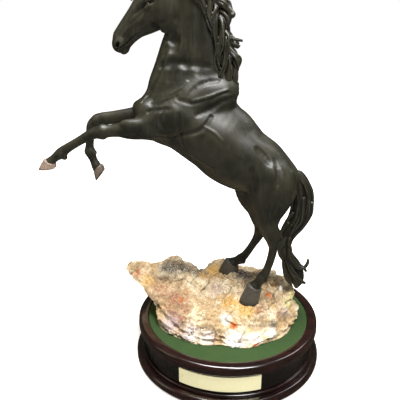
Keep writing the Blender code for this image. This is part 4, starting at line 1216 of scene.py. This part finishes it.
makePlinth()
nodeSkins = {
    "plinth_drum": drumWood, "baize_top": baizeCloth, "underside_felt": feltCloth, "fixing_": steelMetal,
    "hoof_dowel": steelMetal, "name_plaque": brassMetal, "plaque_pin": brassMetal,
}
for name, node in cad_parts.items():
    for start, skin in nodeSkins.items():
        if name.startswith(start):
            node.data.materials.clear()
            node.data.materials.append(skin)
print("plinth made")


def makeFloor():
    shape = bmesh.new()
    bmesh.ops.create_grid(shape, x_segments=24, y_segments=24, size=9.0)
    floor = meshed("studio_floor", shape)
    floor.data.materials.append(makeStudioWhite())
    floor.visible_glossy = False


studioLamps = {  # place and size in metres, watts, colour
    "key_softbox": ((0.34, -0.50, 1.2), (0.40, 0.50), 17.0, (1, 1, 1)),
    "overhead_softbox": ((-0.08, -0.04, 1.1), (0.42, 0.40), 17.0, (1, 1, 1)),
    "rear_softbox": ((0.60, 0.40, 0.95), (0.4, 0.4), 3.0, (1, 1, 1)),
    "left_fill": ((-1.2, -0.4, 0.7), (0.5, 0.9), 1.6, (1.0, 0.94, 0.74)),
}
studioAim = Vector((0, 0, 0.22))
roomLight = {"colour": (1.0, 0.95, 0.76, 1.0), "strength": 0.085}
cameraSet = {"lens": 45.0, "place": (0.03532, -0.50513, 0.37893), "looks": (-0.12427, 0.92765, -0.35217)}


def makeLamps():
    for name, (place, size, watts, colour) in studioLamps.items():
        lamp = bpy.data.lights.new(name, "AREA")
        lamp.shape = "RECTANGLE"
        lamp.size, lamp.size_y = size
        lamp.energy = watts
        lamp.color = colour
        light = placed(name, lamp)
        light.location = place
        light.rotation_euler = (studioAim - Vector(place)).to_track_quat("-Z", "Y").to_euler()


def makeRoom():
    world = bpy.data.worlds.new("white_room")
    world.use_nodes = True
    sheet = world.node_tree
    shown = sheet.nodes["Background"]  # what the camera sees behind the floor
    shown.inputs["Color"].default_value = (1.0, 1.0, 1.0, 1.0)
    lit = sheet.nodes.new("ShaderNodeBackground")  # what lights the figure
    lit.inputs["Color"].default_value = roomLight["colour"]
    lit.inputs["Strength"].default_value = roomLight["strength"]
    choice = sheet.nodes.new("ShaderNodeMixShader")
    path = sheet.nodes.new("ShaderNodeLightPath")
    sheet.links.new(path.outputs["Is Camera Ray"], choice.inputs["Fac"])
    sheet.links.new(lit.outputs["Background"], choice.inputs[1])
    sheet.links.new(shown.outputs["Background"], choice.inputs[2])
    sheet.links.new(choice.outputs["Shader"], sheet.nodes["World Output"].inputs["Surface"])
    bpy.context.scene.world = world
    bpy.context.scene.view_settings.view_transform = "Standard"


def makeCamera():
    lens = bpy.data.cameras.new("camera")
    lens.lens = cameraSet["lens"]
    lens.sensor_width = 36.0
    lens.clip_end = 60.0
    camera = placed("camera", lens)
    camera.location = cameraSet["place"]
    camera.rotation_euler = Vector(cameraSet["looks"]).to_track_quat("-Z", "Y").to_euler()
    bpy.context.scene.camera = camera


makeFloor()
makeLamps()
makeRoom()
makeCamera()
print("studio made")
